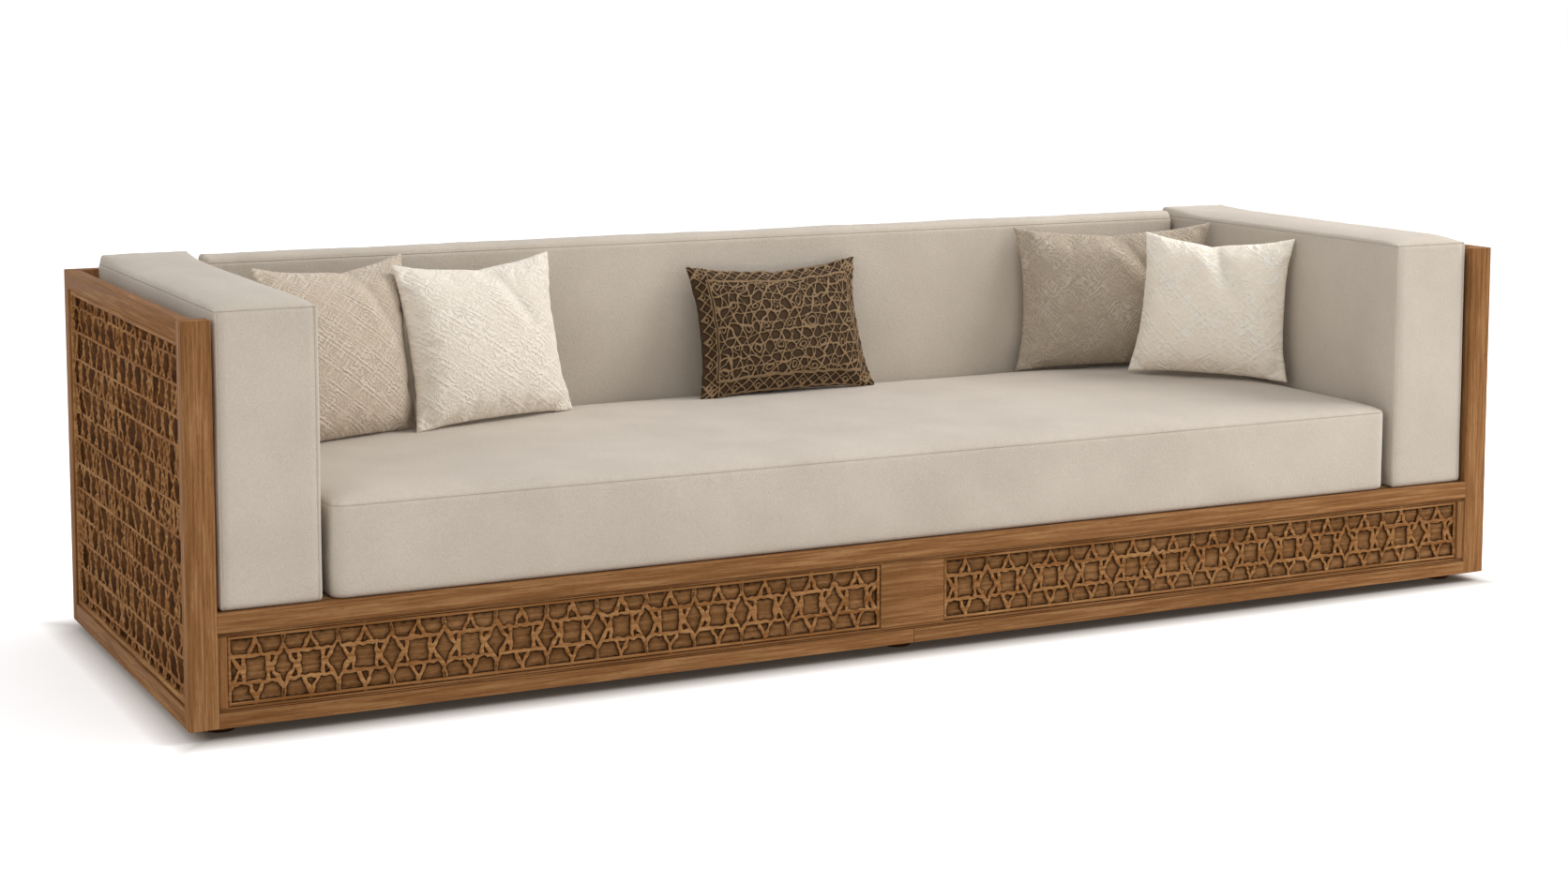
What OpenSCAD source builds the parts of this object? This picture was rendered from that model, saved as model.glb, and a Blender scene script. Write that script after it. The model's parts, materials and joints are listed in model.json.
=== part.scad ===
// Long upholstered booth: a hardwood case with carved star panels along the front and pierced
// screens on both ends, fixed arm and back pads, one loose seat cushion and five loose pillows.
// Lengths are in millimetres. X runs along the seat, Y from front to back, Z up; the origin lies on
// the floor at the middle of the case.

/* [Case] */
// Length of the case over its end posts
overall_w = 3000; // [2400:10:3400]
// Depth of the case over its posts
overall_d = 985; // [880:5:1100]
// Height of a post, without the foot
frame_h = 750; // [680:5:820]
// Width of a post, seen from the front
post_w = 55; // [45:1:70]
// Depth of a post, seen from the side
post_d = 35; // [30:1:48]

/* [End frames] */
// Thickness of the end rails
side_rail_t = 28; // [24:1:34]
// Height of the end rails
side_rail_h = 38; // [32:1:56]
// How far the pierced screen lies behind the outer face
screen_setback = 8; // [3:1:10]
// Thickness of the pierced screen
screen_t = 10; // [6:1:10]
// Width of the bead round the pierced screen
screen_bead = 8; // [5:1:14]
// Width of a lath in the pierced screen
screen_lath = 8; // [5:0.5:12]
// Distance between the laths of one direction
screen_pitch = 110; // [90:5:160]
// Shadow gap between the screen and its frame
screen_gap = 1.5; // [0.5:0.5:3]
// Thickness of the board behind the screen
side_backing_t = 6; // [4:1:6]

/* [Front apron] */
// Height of the seat base over the foot of the posts
base_h = 213; // [190:1:250]
// Height of the top rail of the apron
apron_top_h = 36; // [28:1:48]
// Height of the bottom rail of the apron
apron_bottom_h = 28; // [22:1:40]
// Height of the sunk moulding beside each rail
moulding_h = 8; // [5:0.5:12]
// How far the mouldings lie behind the rails
moulding_setback = 4; // [2:0.5:6]
// How far the carved panels lie behind the rails
panel_setback = 8; // [6:0.5:12]
// Thickness of the carved panels
panel_t = 18; // [14:1:20]
// Depth of the carving
carving_depth = 8; // [4:0.5:10]
// Width of the bead round a carved panel
panel_bead = 6; // [4:0.5:10]
// Width of a carved strap
strap_w = 7.5; // [5:0.5:9]
// Width that one star takes, before it is rounded to a whole number of stars
star_width = 103; // [90:1:130]
// Width of the plain block in the middle of the apron
centre_block_w = 148; // [100:1:200]
// Width of the narrow stile at each end of the apron
end_stile_w = 18; // [12:1:30]

/* [Base] */
// Thickness of the deck boards
deck_t = 15; // [12:1:20]
// Thickness of the beams and bearers
beam_t = 25; // [20:1:34]
// Height of the cross bearers
bearer_h = 110; // [80:5:120]
// Number of bays between cross bearers under each deck board
bearer_bays = 2; // [1:1:3]
// Height of the blocks that carry the feet
foot_block_h = 40; // [30:1:50]
// Side of the blocks that carry the feet
foot_block_w = 104; // [90:1:120]

/* [Feet] */
// Height of a foot
foot_h = 20; // [15:1:40]
// Radius of a foot where it meets the block
foot_r = 34; // [26:1:40]
// Bevel round the underside of a foot
foot_bevel = 7; // [3:0.5:10]
// Distance of a foot's axis from the outer faces of the case
foot_inset = 75; // [70:1:85]
// Radius of the stud that holds a foot
stud_r = 4; // [3:0.5:6]
// Length of the stud that holds a foot
stud_l = 44; // [32:1:50]

/* [Back and arm boards] */
// Thickness of the board behind the back pad
back_board_t = 12; // [9:1:18]
// Thickness of the board behind an arm pad
arm_board_t = 18; // [12:1:22]
// Thickness of the plain panels in the back frame
back_panel_t = 12; // [9:1:18]
// How far the plain back panels lie behind their frame
back_panel_setback = 8; // [4:1:12]
// Width of the stile in the middle of the back frame
back_stile_w = 60; // [40:1:90]

/* [Cushions] */
// Thickness of an arm pad
arm_pad_t = 200; // [150:5:230]
// Distance of an arm pad from the outer face of the end frame
arm_pad_inset = 60; // [58:1:70]
// Thickness of the back pad
back_pad_t = 68; // [50:1:120]
// Height of the top seam of the arm pads over the foot of the posts
arm_seam_z = 763; // [700:1:830]
// Height of the top seam of the back pad over the foot of the posts
back_seam_z = 760; // [700:1:830]
// Rise of an arm pad's top over its seam
arm_crown = 20; // [8:1:30]
// Rise of the back pad's top over its seam
back_crown = 18; // [8:1:28]
// Height of the seat cushion from the deck to its top seam
seat_seam_h = 176; // [120:1:220]
// Rise of the seat cushion's top over its seam
seat_crown = 22; // [10:1:32]
// Distance of the pad fronts behind the face of the posts
pad_front_inset = 8; // [4:1:20]
// Room between the seat cushion and each arm pad
seat_end_gap = 11; // [4:1:20]
// Room between the seat cushion and the back pad
seat_back_gap = 4; // [2:1:12]
// Radius of the rounded edges of the pads
pad_edge_r = 14; // [8:1:20]
// Depth of the sewn line under a cushion's top
seam_depth = 2; // [1:0.5:3]
// Draw of the long sides between the corners of a cushion
side_draw = 3; // [0:0.5:6]

/* [Pillows] */
// Width of the left rear pillow between its corners
pillow_a_w = 394; // [360:2:430]
// Height of the left rear pillow between its corners
pillow_a_h = 374; // [330:2:400]
// Width of the left front pillow between its corners
pillow_b_w = 424; // [360:2:450]
// Height of the left front pillow between its corners
pillow_b_h = 360; // [320:2:400]
// Width of the small middle pillow between its corners
pillow_c_w = 446; // [380:2:500]
// Height of the small middle pillow between its corners
pillow_c_h = 304; // [260:2:340]
// Width of the right rear pillow between its corners
pillow_d_w = 488; // [440:2:500]
// Height of the right rear pillow between its corners
pillow_d_h = 350; // [310:2:390]
// Width of the right front pillow between its corners
pillow_e_w = 386; // [350:2:400]
// Height of the right front pillow between its corners
pillow_e_h = 346; // [310:2:390]
// Thickness of a large pillow
pillow_t = 124; // [90:2:130]
// Thickness of the small middle pillow
small_pillow_t = 104; // [80:2:110]

/* [Fit] */
// Room that a soft piece keeps from what it lies on
rest_gap = 0.3; // [0.2:0.1:0.6]
// Room round a tenon or a stud in its hole
fit_gap = 0.2; // [0.1:0.05:0.4]

/* [Hidden] */
// Roundness of the turned pieces
$fn = 48;
// How far a cutting solid runs past the face that it opens
overrun = 1;

// Colours of the timber, the plywood, the cloths and the metal
wood_colour = [0.55, 0.36, 0.22];
carved_colour = [0.58, 0.38, 0.23];
dark_wood_colour = [0.30, 0.19, 0.11];
plywood_colour = [0.78, 0.66, 0.49];
cloth_colour = [0.78, 0.73, 0.67];
cream_colour = [0.87, 0.83, 0.76];
beige_colour = [0.74, 0.68, 0.58];
taupe_colour = [0.62, 0.57, 0.51];
brown_colour = [0.36, 0.29, 0.20];
steel_colour = [0.65, 0.65, 0.66];

// Tenons at the ends of the rails
tenon_l = 24;
tenon_shoulder = 7;

// Inner face of the rear posts, and the clear distance between the posts of one end
rear_post_y = overall_d - post_d;
inner_d = rear_post_y - post_d;
deck_z = base_h - deck_t;

// Carved panels: place, size, the strips that hold them and the field that the stars fill
panel_z = apron_bottom_h + moulding_h;
panel_h = base_h - apron_top_h - moulding_h - panel_z;
panel_x = post_w + end_stile_w;
cleat_h = 16;
panel_w = (overall_w - centre_block_w) / 2 - panel_x;
field_w = panel_w - 2 * panel_bead + strap_w;
field_h = panel_h - 2 * panel_bead + strap_w;
star_count = max(1, round(field_w / star_width));
star_pitch = field_w / star_count;

// Points of one star, from its middle: bars, window and tips as shares of the field's height
star_r_share = 0.39;
window_share = 0.45;
house_share = 0.43;
star_r = field_h * star_r_share;
bar_y = star_r / 2;
cross_x = star_r / sqrt(3);
tip_x = star_r * sqrt(3) / 2;
window_x = star_r * window_share;
meet_y = (star_pitch / 2 - cross_x) * sqrt(3);

// Base: beams stand on the foot blocks, the bearers run between them
beam_z = foot_block_h;
beam_h = deck_z - foot_block_h;
bearer_z = deck_z - bearer_h;
deck_x = side_rail_t;
deck_w = overall_w - 2 * side_rail_t;
bearer_count = 3 * bearer_bays + 1;
bearer_run = deck_w - 2 * foot_block_w;

// How deep a stud goes into its foot, as a share of the foot's height
foot_stud_share = 0.7;

// Upholstery: places of the pads over the foot of the posts
pad_z = base_h + rest_gap;
arm_pad_l = rear_post_y - rest_gap - pad_front_inset;
back_face_y = rear_post_y - back_board_t - rest_gap - back_pad_t;
arm_inner_x = arm_pad_inset + arm_pad_t;
back_pad_gap = 3;
board_below_seam = 42;
seat_x = arm_inner_x + seat_end_gap;
seat_w = overall_w - 2 * seat_x;
seat_y = pad_front_inset;
seat_d = back_face_y - seat_back_gap - seat_y;
arm_board_h = arm_seam_z - base_h - board_below_seam;
back_board_h = back_seam_z - base_h - board_below_seam;

// Crown of a cushion: shares of half its shorter side, and how flat its middle is
crown_shares = [0.06, 0.16, 0.34, 0.65];
crown_power = 3.2;
quarter_turn = 90;
corner_points = 2;
long_points = 5;
short_points = 2;

// Pillows: how far the edges draw in, as shares of half the size, and the fullness
pillow_grid = 8;
pillow_side_draw_share = 0.08;
pillow_top_draw_share = 0.15;
pillow_foot_draw_share = 0.02;
pillow_full_share = 0.45;
foot_step_shares = [0.2, 0.4, 0.6, 0.8];

// Places of the pillows: yaw, lean and roll, then room to the arm pad, the back pad or each other
pillow_a_angles = [22.5, 9, -1.5];
pillow_a_from_arm = 33;
pillow_a_from_back = 195;
pillow_b_angles = [18, 9.4, 0.7];
pillow_b_past = -11;
pillow_b_before = 64;
pillow_c_angles = [1.5, 16, -1];
pillow_c_off_middle = 94;
pillow_c_from_back = 26;
pillow_d_angles = [-18, 2, 0];
pillow_d_from_arm = 18;
pillow_d_from_back = 28;
pillow_e_angles = [-52, 5, -2];
pillow_e_from_arm = 40;
pillow_e_from_back = 206;

// A solid block between its low and its high corner, from the left front foot of the case
module block(low, high) {
    translate(low) cube(high - low);
}

// The case frame: children are drawn from the left front corner, at the foot of the posts
module from_corner() {
    translate([-overall_w / 2, -overall_d / 2, foot_h]) children();
}

// The right-hand twin of a left-hand piece
module right_hand() {
    mirror([1, 0, 0]) children();
}

// Tenon of a rail that runs along Y, between two heights, from one post face to the other
module side_tenons(low_z, high_z, room = 0) {
    block(
        [tenon_shoulder - room, post_d - tenon_l - room, low_z + tenon_shoulder - room],
        [side_rail_t - tenon_shoulder + room, rear_post_y + tenon_l + room, high_z - tenon_shoulder + room]
    );
}

// Tenon of a rail that runs along X between the posts of one face
module long_tenons(y, depth, low_z, high_z, room = 0) {
    block(
        [post_w - tenon_l - room, y + tenon_shoulder - room, low_z + tenon_shoulder - room],
        [
            overall_w - post_w + tenon_l + room,
            y + depth - tenon_shoulder + room,
            high_z - tenon_shoulder + room
        ]
    );
}

module left_front_post() {
    color(wood_colour) from_corner() difference() {
        block([0, 0, 0], [post_w, post_d, frame_h]);
        side_tenons(0, side_rail_h, fit_gap);
        side_tenons(frame_h - side_rail_h, frame_h, fit_gap);
        long_tenons(0, post_d, 0, apron_bottom_h, fit_gap);
        long_tenons(0, post_d, base_h - apron_top_h, base_h, fit_gap);
    }
}

module left_rear_post() {
    color(wood_colour) from_corner() difference() {
        block([0, rear_post_y, 0], [post_w, overall_d, frame_h]);
        side_tenons(0, side_rail_h, fit_gap);
        side_tenons(frame_h - side_rail_h, frame_h, fit_gap);
        long_tenons(rear_post_y, post_d, 0, side_rail_h, fit_gap);
        long_tenons(rear_post_y, post_d, frame_h - side_rail_h, frame_h, fit_gap);
    }
}

module side_rail(z) {
    color(wood_colour) from_corner() union() {
        block([0, post_d, z], [side_rail_t, rear_post_y, z + side_rail_h]);
        side_tenons(z, z + side_rail_h);
    }
}

module left_top_rail() { side_rail(frame_h - side_rail_h); }
module left_bottom_rail() { side_rail(0); }

// Outline moved inwards by d; its points run anticlockwise
function unit(v) = v / norm(v);
function inward(v) = [-v[1], v[0]];
function inset(points, d) = let (n = len(points)) [
    for (i = [0 : n - 1])
        let (
            before = inward(unit(points[i] - points[(i + n - 1) % n])),
            after = inward(unit(points[(i + 1) % n] - points[i]))
        )
        points[i] + d * (before + after) / (1 + before * after)
];

// Mirrored copy of an outline, kept anticlockwise
function flipped(points, sx, sy) = let (n = len(points)) [
    for (i = [0 : n - 1])
        let (p = points[sx * sy > 0 ? i : n - 1 - i]) [p[0] * sx, p[1] * sy]
];

// One direction of triangular openings between three families of laths, at 0, 60 and 120 degrees
module screen_openings(width, height) {
    row_h = screen_pitch * sqrt(3) / 2;
    rows = ceil(height / row_h / 2) + 1;
    columns = ceil(width / screen_pitch / 2) + 1;
    upright = [[-screen_pitch / 2, 0], [screen_pitch / 2, 0], [0, row_h]];
    for (row = [-rows : rows - 1], column = [-columns : columns]) {
        shift = (row % 2 == 0 ? 0 : 1 / 2) * screen_pitch;
        translate([column * screen_pitch + shift, row * row_h]) {
            polygon(inset(upright, screen_lath / 2));
            translate([screen_pitch / 2, row_h]) polygon(inset(flipped(upright, 1, -1), screen_lath / 2));
        }
    }
}

module left_screen() {
    width = inner_d - 2 * screen_gap;
    height = frame_h - 2 * side_rail_h - 2 * screen_gap;
    color(carved_colour) from_corner()
        translate([screen_setback, post_d + inner_d / 2, frame_h / 2])
            rotate([90, 0, 90]) linear_extrude(screen_t) difference() {
                square([width, height], center = true);
                intersection() {
                    square([width - 2 * screen_bead, height - 2 * screen_bead], center = true);
                    screen_openings(width, height);
                }
            }
}

module left_screen_backing() {
    x = screen_setback + screen_t;
    color(dark_wood_colour) from_corner()
        block([x, post_d, side_rail_h], [x + side_backing_t, rear_post_y, frame_h - side_rail_h]);
}

module left_arm_board() {
    x = arm_pad_inset - rest_gap - arm_board_t;
    color(plywood_colour) from_corner()
        block([x, post_d, base_h], [x + arm_board_t, rear_post_y, base_h + arm_board_h]);
}

// Rounded outline with half sizes a and b, corner radius r and sides drawn in by draw
function outline(a, b, r, draw) =
    let (
        side = function (p) [
            p[0] - sign(p[0]) * draw * (abs(p[0]) > a - r ? 1 - pow(p[1] / b, 2) : 0),
            p[1] - sign(p[1]) * draw * (abs(p[1]) > b - r ? 1 - pow(p[0] / a, 2) : 0)
        ],
        corner = function (k, cx, cy) [
            for (i = [0 : corner_points]) let (t = quarter_turn * (k + i / corner_points))
                [cx + r * cos(t), cy + r * sin(t)]
        ],
        run = function (p, q, n) [for (i = [1 : n]) p + (q - p) * i / (n + 1)],
        n_x = a > b ? long_points : short_points,
        n_y = a > b ? short_points : long_points
    )
    [for (p = concat(
        corner(3, a - r, r - b), run([a, r - b], [a, b - r], n_y),
        corner(0, a - r, b - r), run([a - r, b], [r - a, b], n_x),
        corner(1, r - a, b - r), run([-a, b - r], [-a, r - b], n_y),
        corner(2, r - a, r - b), run([r - a, -b], [a - r, -b], n_x)
    )) side(p)];

// Height of a crowned top at distance d from its edge, where half is half the shorter side
function crown_at(d, half, crown) = crown * (1 - pow(1 - min(1, max(0, d / half)), crown_power));

// Rings of a cushion's top over its sewn line, each as its inset and its height
function top_rings(half, height, crown) = [
    [seam_depth / 2, height + seam_depth],
    for (s = crown_shares) let (rise = crown_at(half * s, half, crown - seam_depth))
        [half * s, height + seam_depth + rise]
];

// Rings of a boxed cushion: the rounded foot, the side, the sewn line and the top
function cushion_rings(half, height, crown) = concat(
    [
        [pad_edge_r, 0], [pad_edge_r * (1 - sin(45)), pad_edge_r * (1 - cos(45))], [0, pad_edge_r],
        [0, height - 2 * seam_depth], [seam_depth, height]
    ],
    top_rings(half, height, crown)
);

// Boxed cushion on its flat underside, with a sewn line under a crowned top; size is its length,
// depth and height to the seam
module boxed_cushion(size, crown) {
    a = size[0] / 2;
    b = size[1] / 2;
    half = min(a, b);
    rings = cushion_rings(half, size[2], crown);
    loops = [
        for (ring = rings)
            outline(a - ring[0], b - ring[0], max(pad_edge_r - ring[0], pad_edge_r / 4), side_draw)
    ];
    n = len(loops[0]);
    last = len(rings) - 1;
    points = concat(
        [for (j = [0 : last], p = loops[j]) [p[0], p[1], rings[j][1]]],
        [[0, 0, 0], [0, 0, size[2] + crown]]
    );
    below = n * (last + 1);
    faces = concat(
        [for (j = [0 : last - 1], i = [0 : n - 1]) [j * n + i, (j + 1) * n + i, (j + 1) * n + (i + 1) % n]],
        [
            for (j = [0 : last - 1], i = [0 : n - 1])
                [j * n + i, (j + 1) * n + (i + 1) % n, j * n + (i + 1) % n]
        ],
        [for (i = [0 : n - 1]) [below, i, (i + 1) % n]],
        [for (i = [0 : n - 1]) [below + 1, last * n + (i + 1) % n, last * n + i]]
    );
    polyhedron(points = points, faces = faces);
}

module left_arm_pad() {
    color(cloth_colour) from_corner()
        translate([arm_pad_inset + arm_pad_t / 2, pad_front_inset + arm_pad_l / 2, pad_z])
            boxed_cushion([arm_pad_t, arm_pad_l, arm_seam_z - pad_z], arm_crown);
}

module right_front_post() { right_hand() left_front_post(); }
module right_rear_post() { right_hand() left_rear_post(); }
module right_top_rail() { right_hand() left_top_rail(); }
module right_bottom_rail() { right_hand() left_bottom_rail(); }
module right_screen() { right_hand() left_screen(); }
module right_screen_backing() { right_hand() left_screen_backing(); }
module right_arm_board() { right_hand() left_arm_board(); }
module right_arm_pad() { right_hand() left_arm_pad(); }

module front_top_rail() {
    color(wood_colour) from_corner() union() {
        block([post_w, 0, base_h - apron_top_h], [overall_w - post_w, post_d, base_h]);
        long_tenons(0, post_d, base_h - apron_top_h, base_h);
    }
}

// The bottom rail is two lengths that meet in the middle
module front_bottom_rail_left() {
    color(wood_colour) from_corner() intersection() {
        union() {
            block([post_w, 0, 0], [overall_w - post_w, post_d, apron_bottom_h]);
            long_tenons(0, post_d, 0, apron_bottom_h);
        }
        block([0, 0, 0], [overall_w / 2 - fit_gap, post_d, apron_bottom_h]);
    }
}

module front_bottom_rail_right() { right_hand() front_bottom_rail_left(); }

// Two strips in one half of the apron, under the top rail and on the bottom rail
module front_mouldings_left() {
    color(wood_colour) from_corner() for (z = [apron_bottom_h, panel_z + panel_h])
        block(
            [post_w, moulding_setback, z],
            [overall_w / 2 - fit_gap, panel_setback + panel_t, z + moulding_h]
        );
}

module front_mouldings_right() { right_hand() front_mouldings_left(); }

// Openings between the straps of one star, in its right upper quarter
window = [[-window_x, -bar_y], [window_x, -bar_y], [window_x, bar_y], [-window_x, bar_y]];
side_opening = [
    [window_x, bar_y], [window_x, (cross_x - window_x) * sqrt(3)], [cross_x, 0], [tip_x, bar_y]
];
house = [[-tip_x / 3, bar_y], [tip_x / 3, bar_y], [0, field_h * house_share]];
top_opening = [
    [tip_x / 3, bar_y], [tip_x, bar_y], [star_pitch / 2, meet_y], [star_pitch / 2, field_h / 2],
    [0, field_h / 2], [0, field_h * house_share]
];
half_diamond = [[cross_x, 0], [star_pitch / 2, -meet_y], [star_pitch / 2, meet_y]];
diamond = [
    [cross_x, 0], [star_pitch / 2, -meet_y], [star_pitch - cross_x, 0], [star_pitch / 2, meet_y]
];

module star_openings() {
    polygon(inset(window, strap_w / 2));
    for (sy = [-1, 1]) {
        polygon(inset(flipped(house, 1, sy), strap_w / 2));
        for (sx = [-1, 1]) {
            polygon(inset(flipped(side_opening, sx, sy), strap_w / 2));
            polygon(inset(flipped(top_opening, sx, sy), strap_w / 2));
        }
    }
}

// Carved panel: stars side by side, with a diamond between each two and half a one at the ends
module front_panel_left() {
    color(carved_colour) from_corner()
        translate([panel_x + panel_w / 2, panel_setback + panel_t, panel_z + panel_h / 2])
            rotate([90, 0, 0]) difference() {
                linear_extrude(panel_t) square([panel_w, panel_h], center = true);
                translate([0, 0, panel_t - carving_depth]) linear_extrude(carving_depth + overrun)
                    for (i = [0 : star_count - 1]) translate([(i + 1 / 2) * star_pitch - field_w / 2, 0]) {
                        star_openings();
                        if (i < star_count - 1) polygon(inset(diamond, strap_w / 2));
                        if (i == 0) polygon(inset(flipped(half_diamond, -1, 1), strap_w / 2));
                        if (i == star_count - 1) polygon(inset(half_diamond, strap_w / 2));
                    }
            }
}

module front_panel_right() { right_hand() front_panel_left(); }

module front_centre_block() {
    color(wood_colour) from_corner()
        block(
            [(overall_w - centre_block_w) / 2 + fit_gap, panel_setback - moulding_setback / 2, panel_z],
            [(overall_w + centre_block_w) / 2 - fit_gap, panel_setback + panel_t, panel_z + panel_h]
        );
}

module front_end_stile_left() {
    color(wood_colour) from_corner()
        block(
            [post_w, moulding_setback, panel_z],
            [panel_x - fit_gap, panel_setback + panel_t, panel_z + panel_h]
        );
}

module front_end_stile_right() { right_hand() front_end_stile_left(); }

// Strips that hold the carved panels from behind, above and below
module front_panel_cleats() {
    y = panel_setback + panel_t;
    color(plywood_colour) from_corner() for (z = [apron_bottom_h, base_h - apron_top_h - cleat_h])
        block([post_w, y, z], [overall_w - post_w, post_d, z + cleat_h]);
}

module back_rail(z) {
    color(wood_colour) from_corner() union() {
        block([post_w, rear_post_y, z], [overall_w - post_w, overall_d, z + side_rail_h]);
        long_tenons(rear_post_y, post_d, z, z + side_rail_h);
    }
}

module back_top_rail() { back_rail(frame_h - side_rail_h); }
module back_bottom_rail() { back_rail(0); }

module back_centre_stile() {
    color(wood_colour) from_corner()
        block(
            [(overall_w - back_stile_w) / 2, rear_post_y, side_rail_h],
            [(overall_w + back_stile_w) / 2, overall_d, frame_h - side_rail_h]
        );
}

module back_panel_left() {
    y = overall_d - back_panel_setback;
    color(wood_colour) from_corner()
        block(
            [post_w, y - back_panel_t, side_rail_h],
            [(overall_w - back_stile_w) / 2, y, frame_h - side_rail_h]
        );
}

module back_panel_right() { right_hand() back_panel_left(); }

module back_board() {
    color(plywood_colour) from_corner()
        block(
            [arm_inner_x + back_pad_gap, rear_post_y - back_board_t, base_h],
            [overall_w - arm_inner_x - back_pad_gap, rear_post_y, base_h + back_board_h]
        );
}

module back_pad() {
    width = overall_w - 2 * (arm_inner_x + back_pad_gap);
    color(cloth_colour) from_corner()
        translate([overall_w / 2, back_face_y + back_pad_t / 2, pad_z])
            boxed_cushion([width, back_pad_t, back_seam_z - pad_z], back_crown);
}

module beam(y) {
    color(plywood_colour) from_corner()
        block([deck_x, y, beam_z], [overall_w - deck_x, y + beam_t, deck_z]);
}

module front_beam() { beam(post_d); }
module rear_beam() { beam(rear_post_y - beam_t); }

// Middle of one cross bearer; two deck boards meet over the middle of a bearer
function bearer_x(i) = deck_x + foot_block_w + bearer_run * i / (bearer_count - 1);

module cross_bearers() {
    color(plywood_colour) from_corner() for (i = [0 : bearer_count - 1])
        block(
            [bearer_x(i) - beam_t / 2, post_d + beam_t, bearer_z],
            [bearer_x(i) + beam_t / 2, rear_post_y - beam_t, deck_z]
        );
}

// One deck board between two places along the case
module deck_board(low_x, high_x) {
    color(plywood_colour) from_corner() block([low_x, post_d, deck_z], [high_x, rear_post_y, base_h]);
}

module deck_left() { deck_board(deck_x, bearer_x(bearer_bays)); }
module deck_middle() { deck_board(bearer_x(bearer_bays), bearer_x(2 * bearer_bays)); }
module deck_right() { deck_board(bearer_x(2 * bearer_bays), deck_x + deck_w); }

// Places of the feet: along the case, then across it
foot_x = [foot_inset, overall_w / 2, overall_w - foot_inset];
foot_y = [foot_inset, overall_d - foot_inset];

module foot_blocks() {
    block_x = [side_rail_t, (overall_w - foot_block_w) / 2, overall_w - side_rail_t - foot_block_w];
    block_y = [post_d, rear_post_y - foot_block_w];
    color(plywood_colour) from_corner() difference() {
        for (x = block_x, y = block_y) block([x, y, 0], [x + foot_block_w, y + foot_block_w, foot_block_h]);
        for (x = foot_x, y = foot_y) translate([x, y, -overrun])
            cylinder(r = stud_r + fit_gap, h = stud_l - foot_h * foot_stud_share + overrun + fit_gap);
    }
}

// Row of turned feet: bevelled discs, each with a blind hole for its stud
module feet(y) {
    color(wood_colour) from_corner() for (x = foot_x) translate([x, y, -foot_h]) difference() {
        rotate_extrude() polygon([
            [0, 0], [foot_r - foot_bevel, 0], [foot_r, foot_bevel], [foot_r, foot_h], [0, foot_h]
        ]);
        translate([0, 0, foot_h * (1 - foot_stud_share)]) cylinder(r = stud_r + fit_gap, h = foot_h);
    }
}

module front_feet() { feet(foot_y[0]); }
module rear_feet() { feet(foot_y[1]); }

module foot_studs() {
    color(steel_colour) from_corner() for (x = foot_x, y = foot_y)
        translate([x, y, -foot_h * foot_stud_share]) cylinder(r = stud_r, h = stud_l);
}

module seat_cushion() {
    color(cloth_colour) from_corner()
        translate([seat_x + seat_w / 2, seat_y + seat_d / 2, pad_z])
            boxed_cushion([seat_w, seat_d, seat_seam_h], seat_crown);
}

// Height of the seat's top at one place, read between the rings of its top
function seat_top(x, y) =
    pad_z + lookup(
        min(x - seat_x, seat_x + seat_w - x, y - seat_y, seat_y + seat_d - y),
        top_rings(seat_d / 2, seat_seam_h, seat_crown)
    );

// Point of a pillow's face: u and v run from -1 to 1 between its corners, face is -1 or 1
function pillow_point(size, u, v, face) =
    let (
        draw_share = v > 0 ? pillow_top_draw_share : pillow_foot_draw_share,
        fullness = pow(max(0, (1 - u * u) * (1 - v * v)), pillow_full_share)
    )
    [
        size[0] / 2 * u * (1 - pillow_side_draw_share * (1 - v * v) * abs(u)),
        face * size[1] / 2 * fullness,
        size[2] / 2 * (1 + v * (1 - draw_share * (1 - u * u) * abs(v)))
    ];

// A point rolled in the pillow's own plane, leaned back and turned about the upright
function rolled(p, a) = [p[0] * cos(a) + p[2] * sin(a), p[1], p[2] * cos(a) - p[0] * sin(a)];
function leaned(p, a) = [p[0], p[1] * cos(a) + p[2] * sin(a), p[2] * cos(a) - p[1] * sin(a)];
function turned(p, a) = [p[0] * cos(a) - p[1] * sin(a), p[0] * sin(a) + p[1] * cos(a), p[2]];
function posed(p, angles) = turned(leaned(rolled(p, angles[2]), angles[1]), angles[0]);

// Throw pillow with its foot's middle at a place on the seat; it is lowered until it rests
module pillow(size, angles, place) {
    n = pillow_grid;
    front = [for (i = [0 : n], j = [0 : n]) pillow_point(size, 2 * i / n - 1, 2 * j / n - 1, -1)];
    back = [for (i = [1 : n - 1], j = [1 : n - 1]) pillow_point(size, 2 * i / n - 1, 2 * j / n - 1, 1)];
    shape = [for (p = concat(front, back)) posed(p, angles) + [place[0], place[1], 0]];
    foot_line = [
        for (i = [0 : n - 1], s = foot_step_shares) shape[i * (n + 1)] * (1 - s) + shape[(i + 1) * (n + 1)] * s
    ];
    drop = min([for (p = concat(shape, foot_line)) p[2] - seat_top(p[0], p[1])]);
    points = [for (p = shape) p - [0, 0, drop - rest_gap]];
    at = function (i, j) i * (n + 1) + j;
    behind = function (i, j) i == 0 || j == 0 || i == n || j == n
        ? at(i, j) : (n + 1) * (n + 1) + (i - 1) * (n - 1) + j - 1;
    // Each square of the net is cut from the pillow's middle towards its corners
    square_of = function (at_, i, j)
        let (a = at_(i, j), b = at_(i, j + 1), c = at_(i + 1, j + 1), d = at_(i + 1, j))
        (i < n / 2) == (j < n / 2) ? [[a, b, c], [a, c, d]] : [[a, b, d], [b, c, d]];
    faces = [
        for (i = [0 : n - 1], j = [0 : n - 1]) each concat(
            square_of(at, i, j), [for (f = square_of(behind, i, j)) [f[0], f[2], f[1]]]
        )
    ];
    from_corner() polyhedron(points = points, faces = faces);
}

// Half of a pillow's foot, as a step in the plan
function half_foot(width, angles) = width / 2 * [cos(angles[0]), sin(angles[0])];

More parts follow.
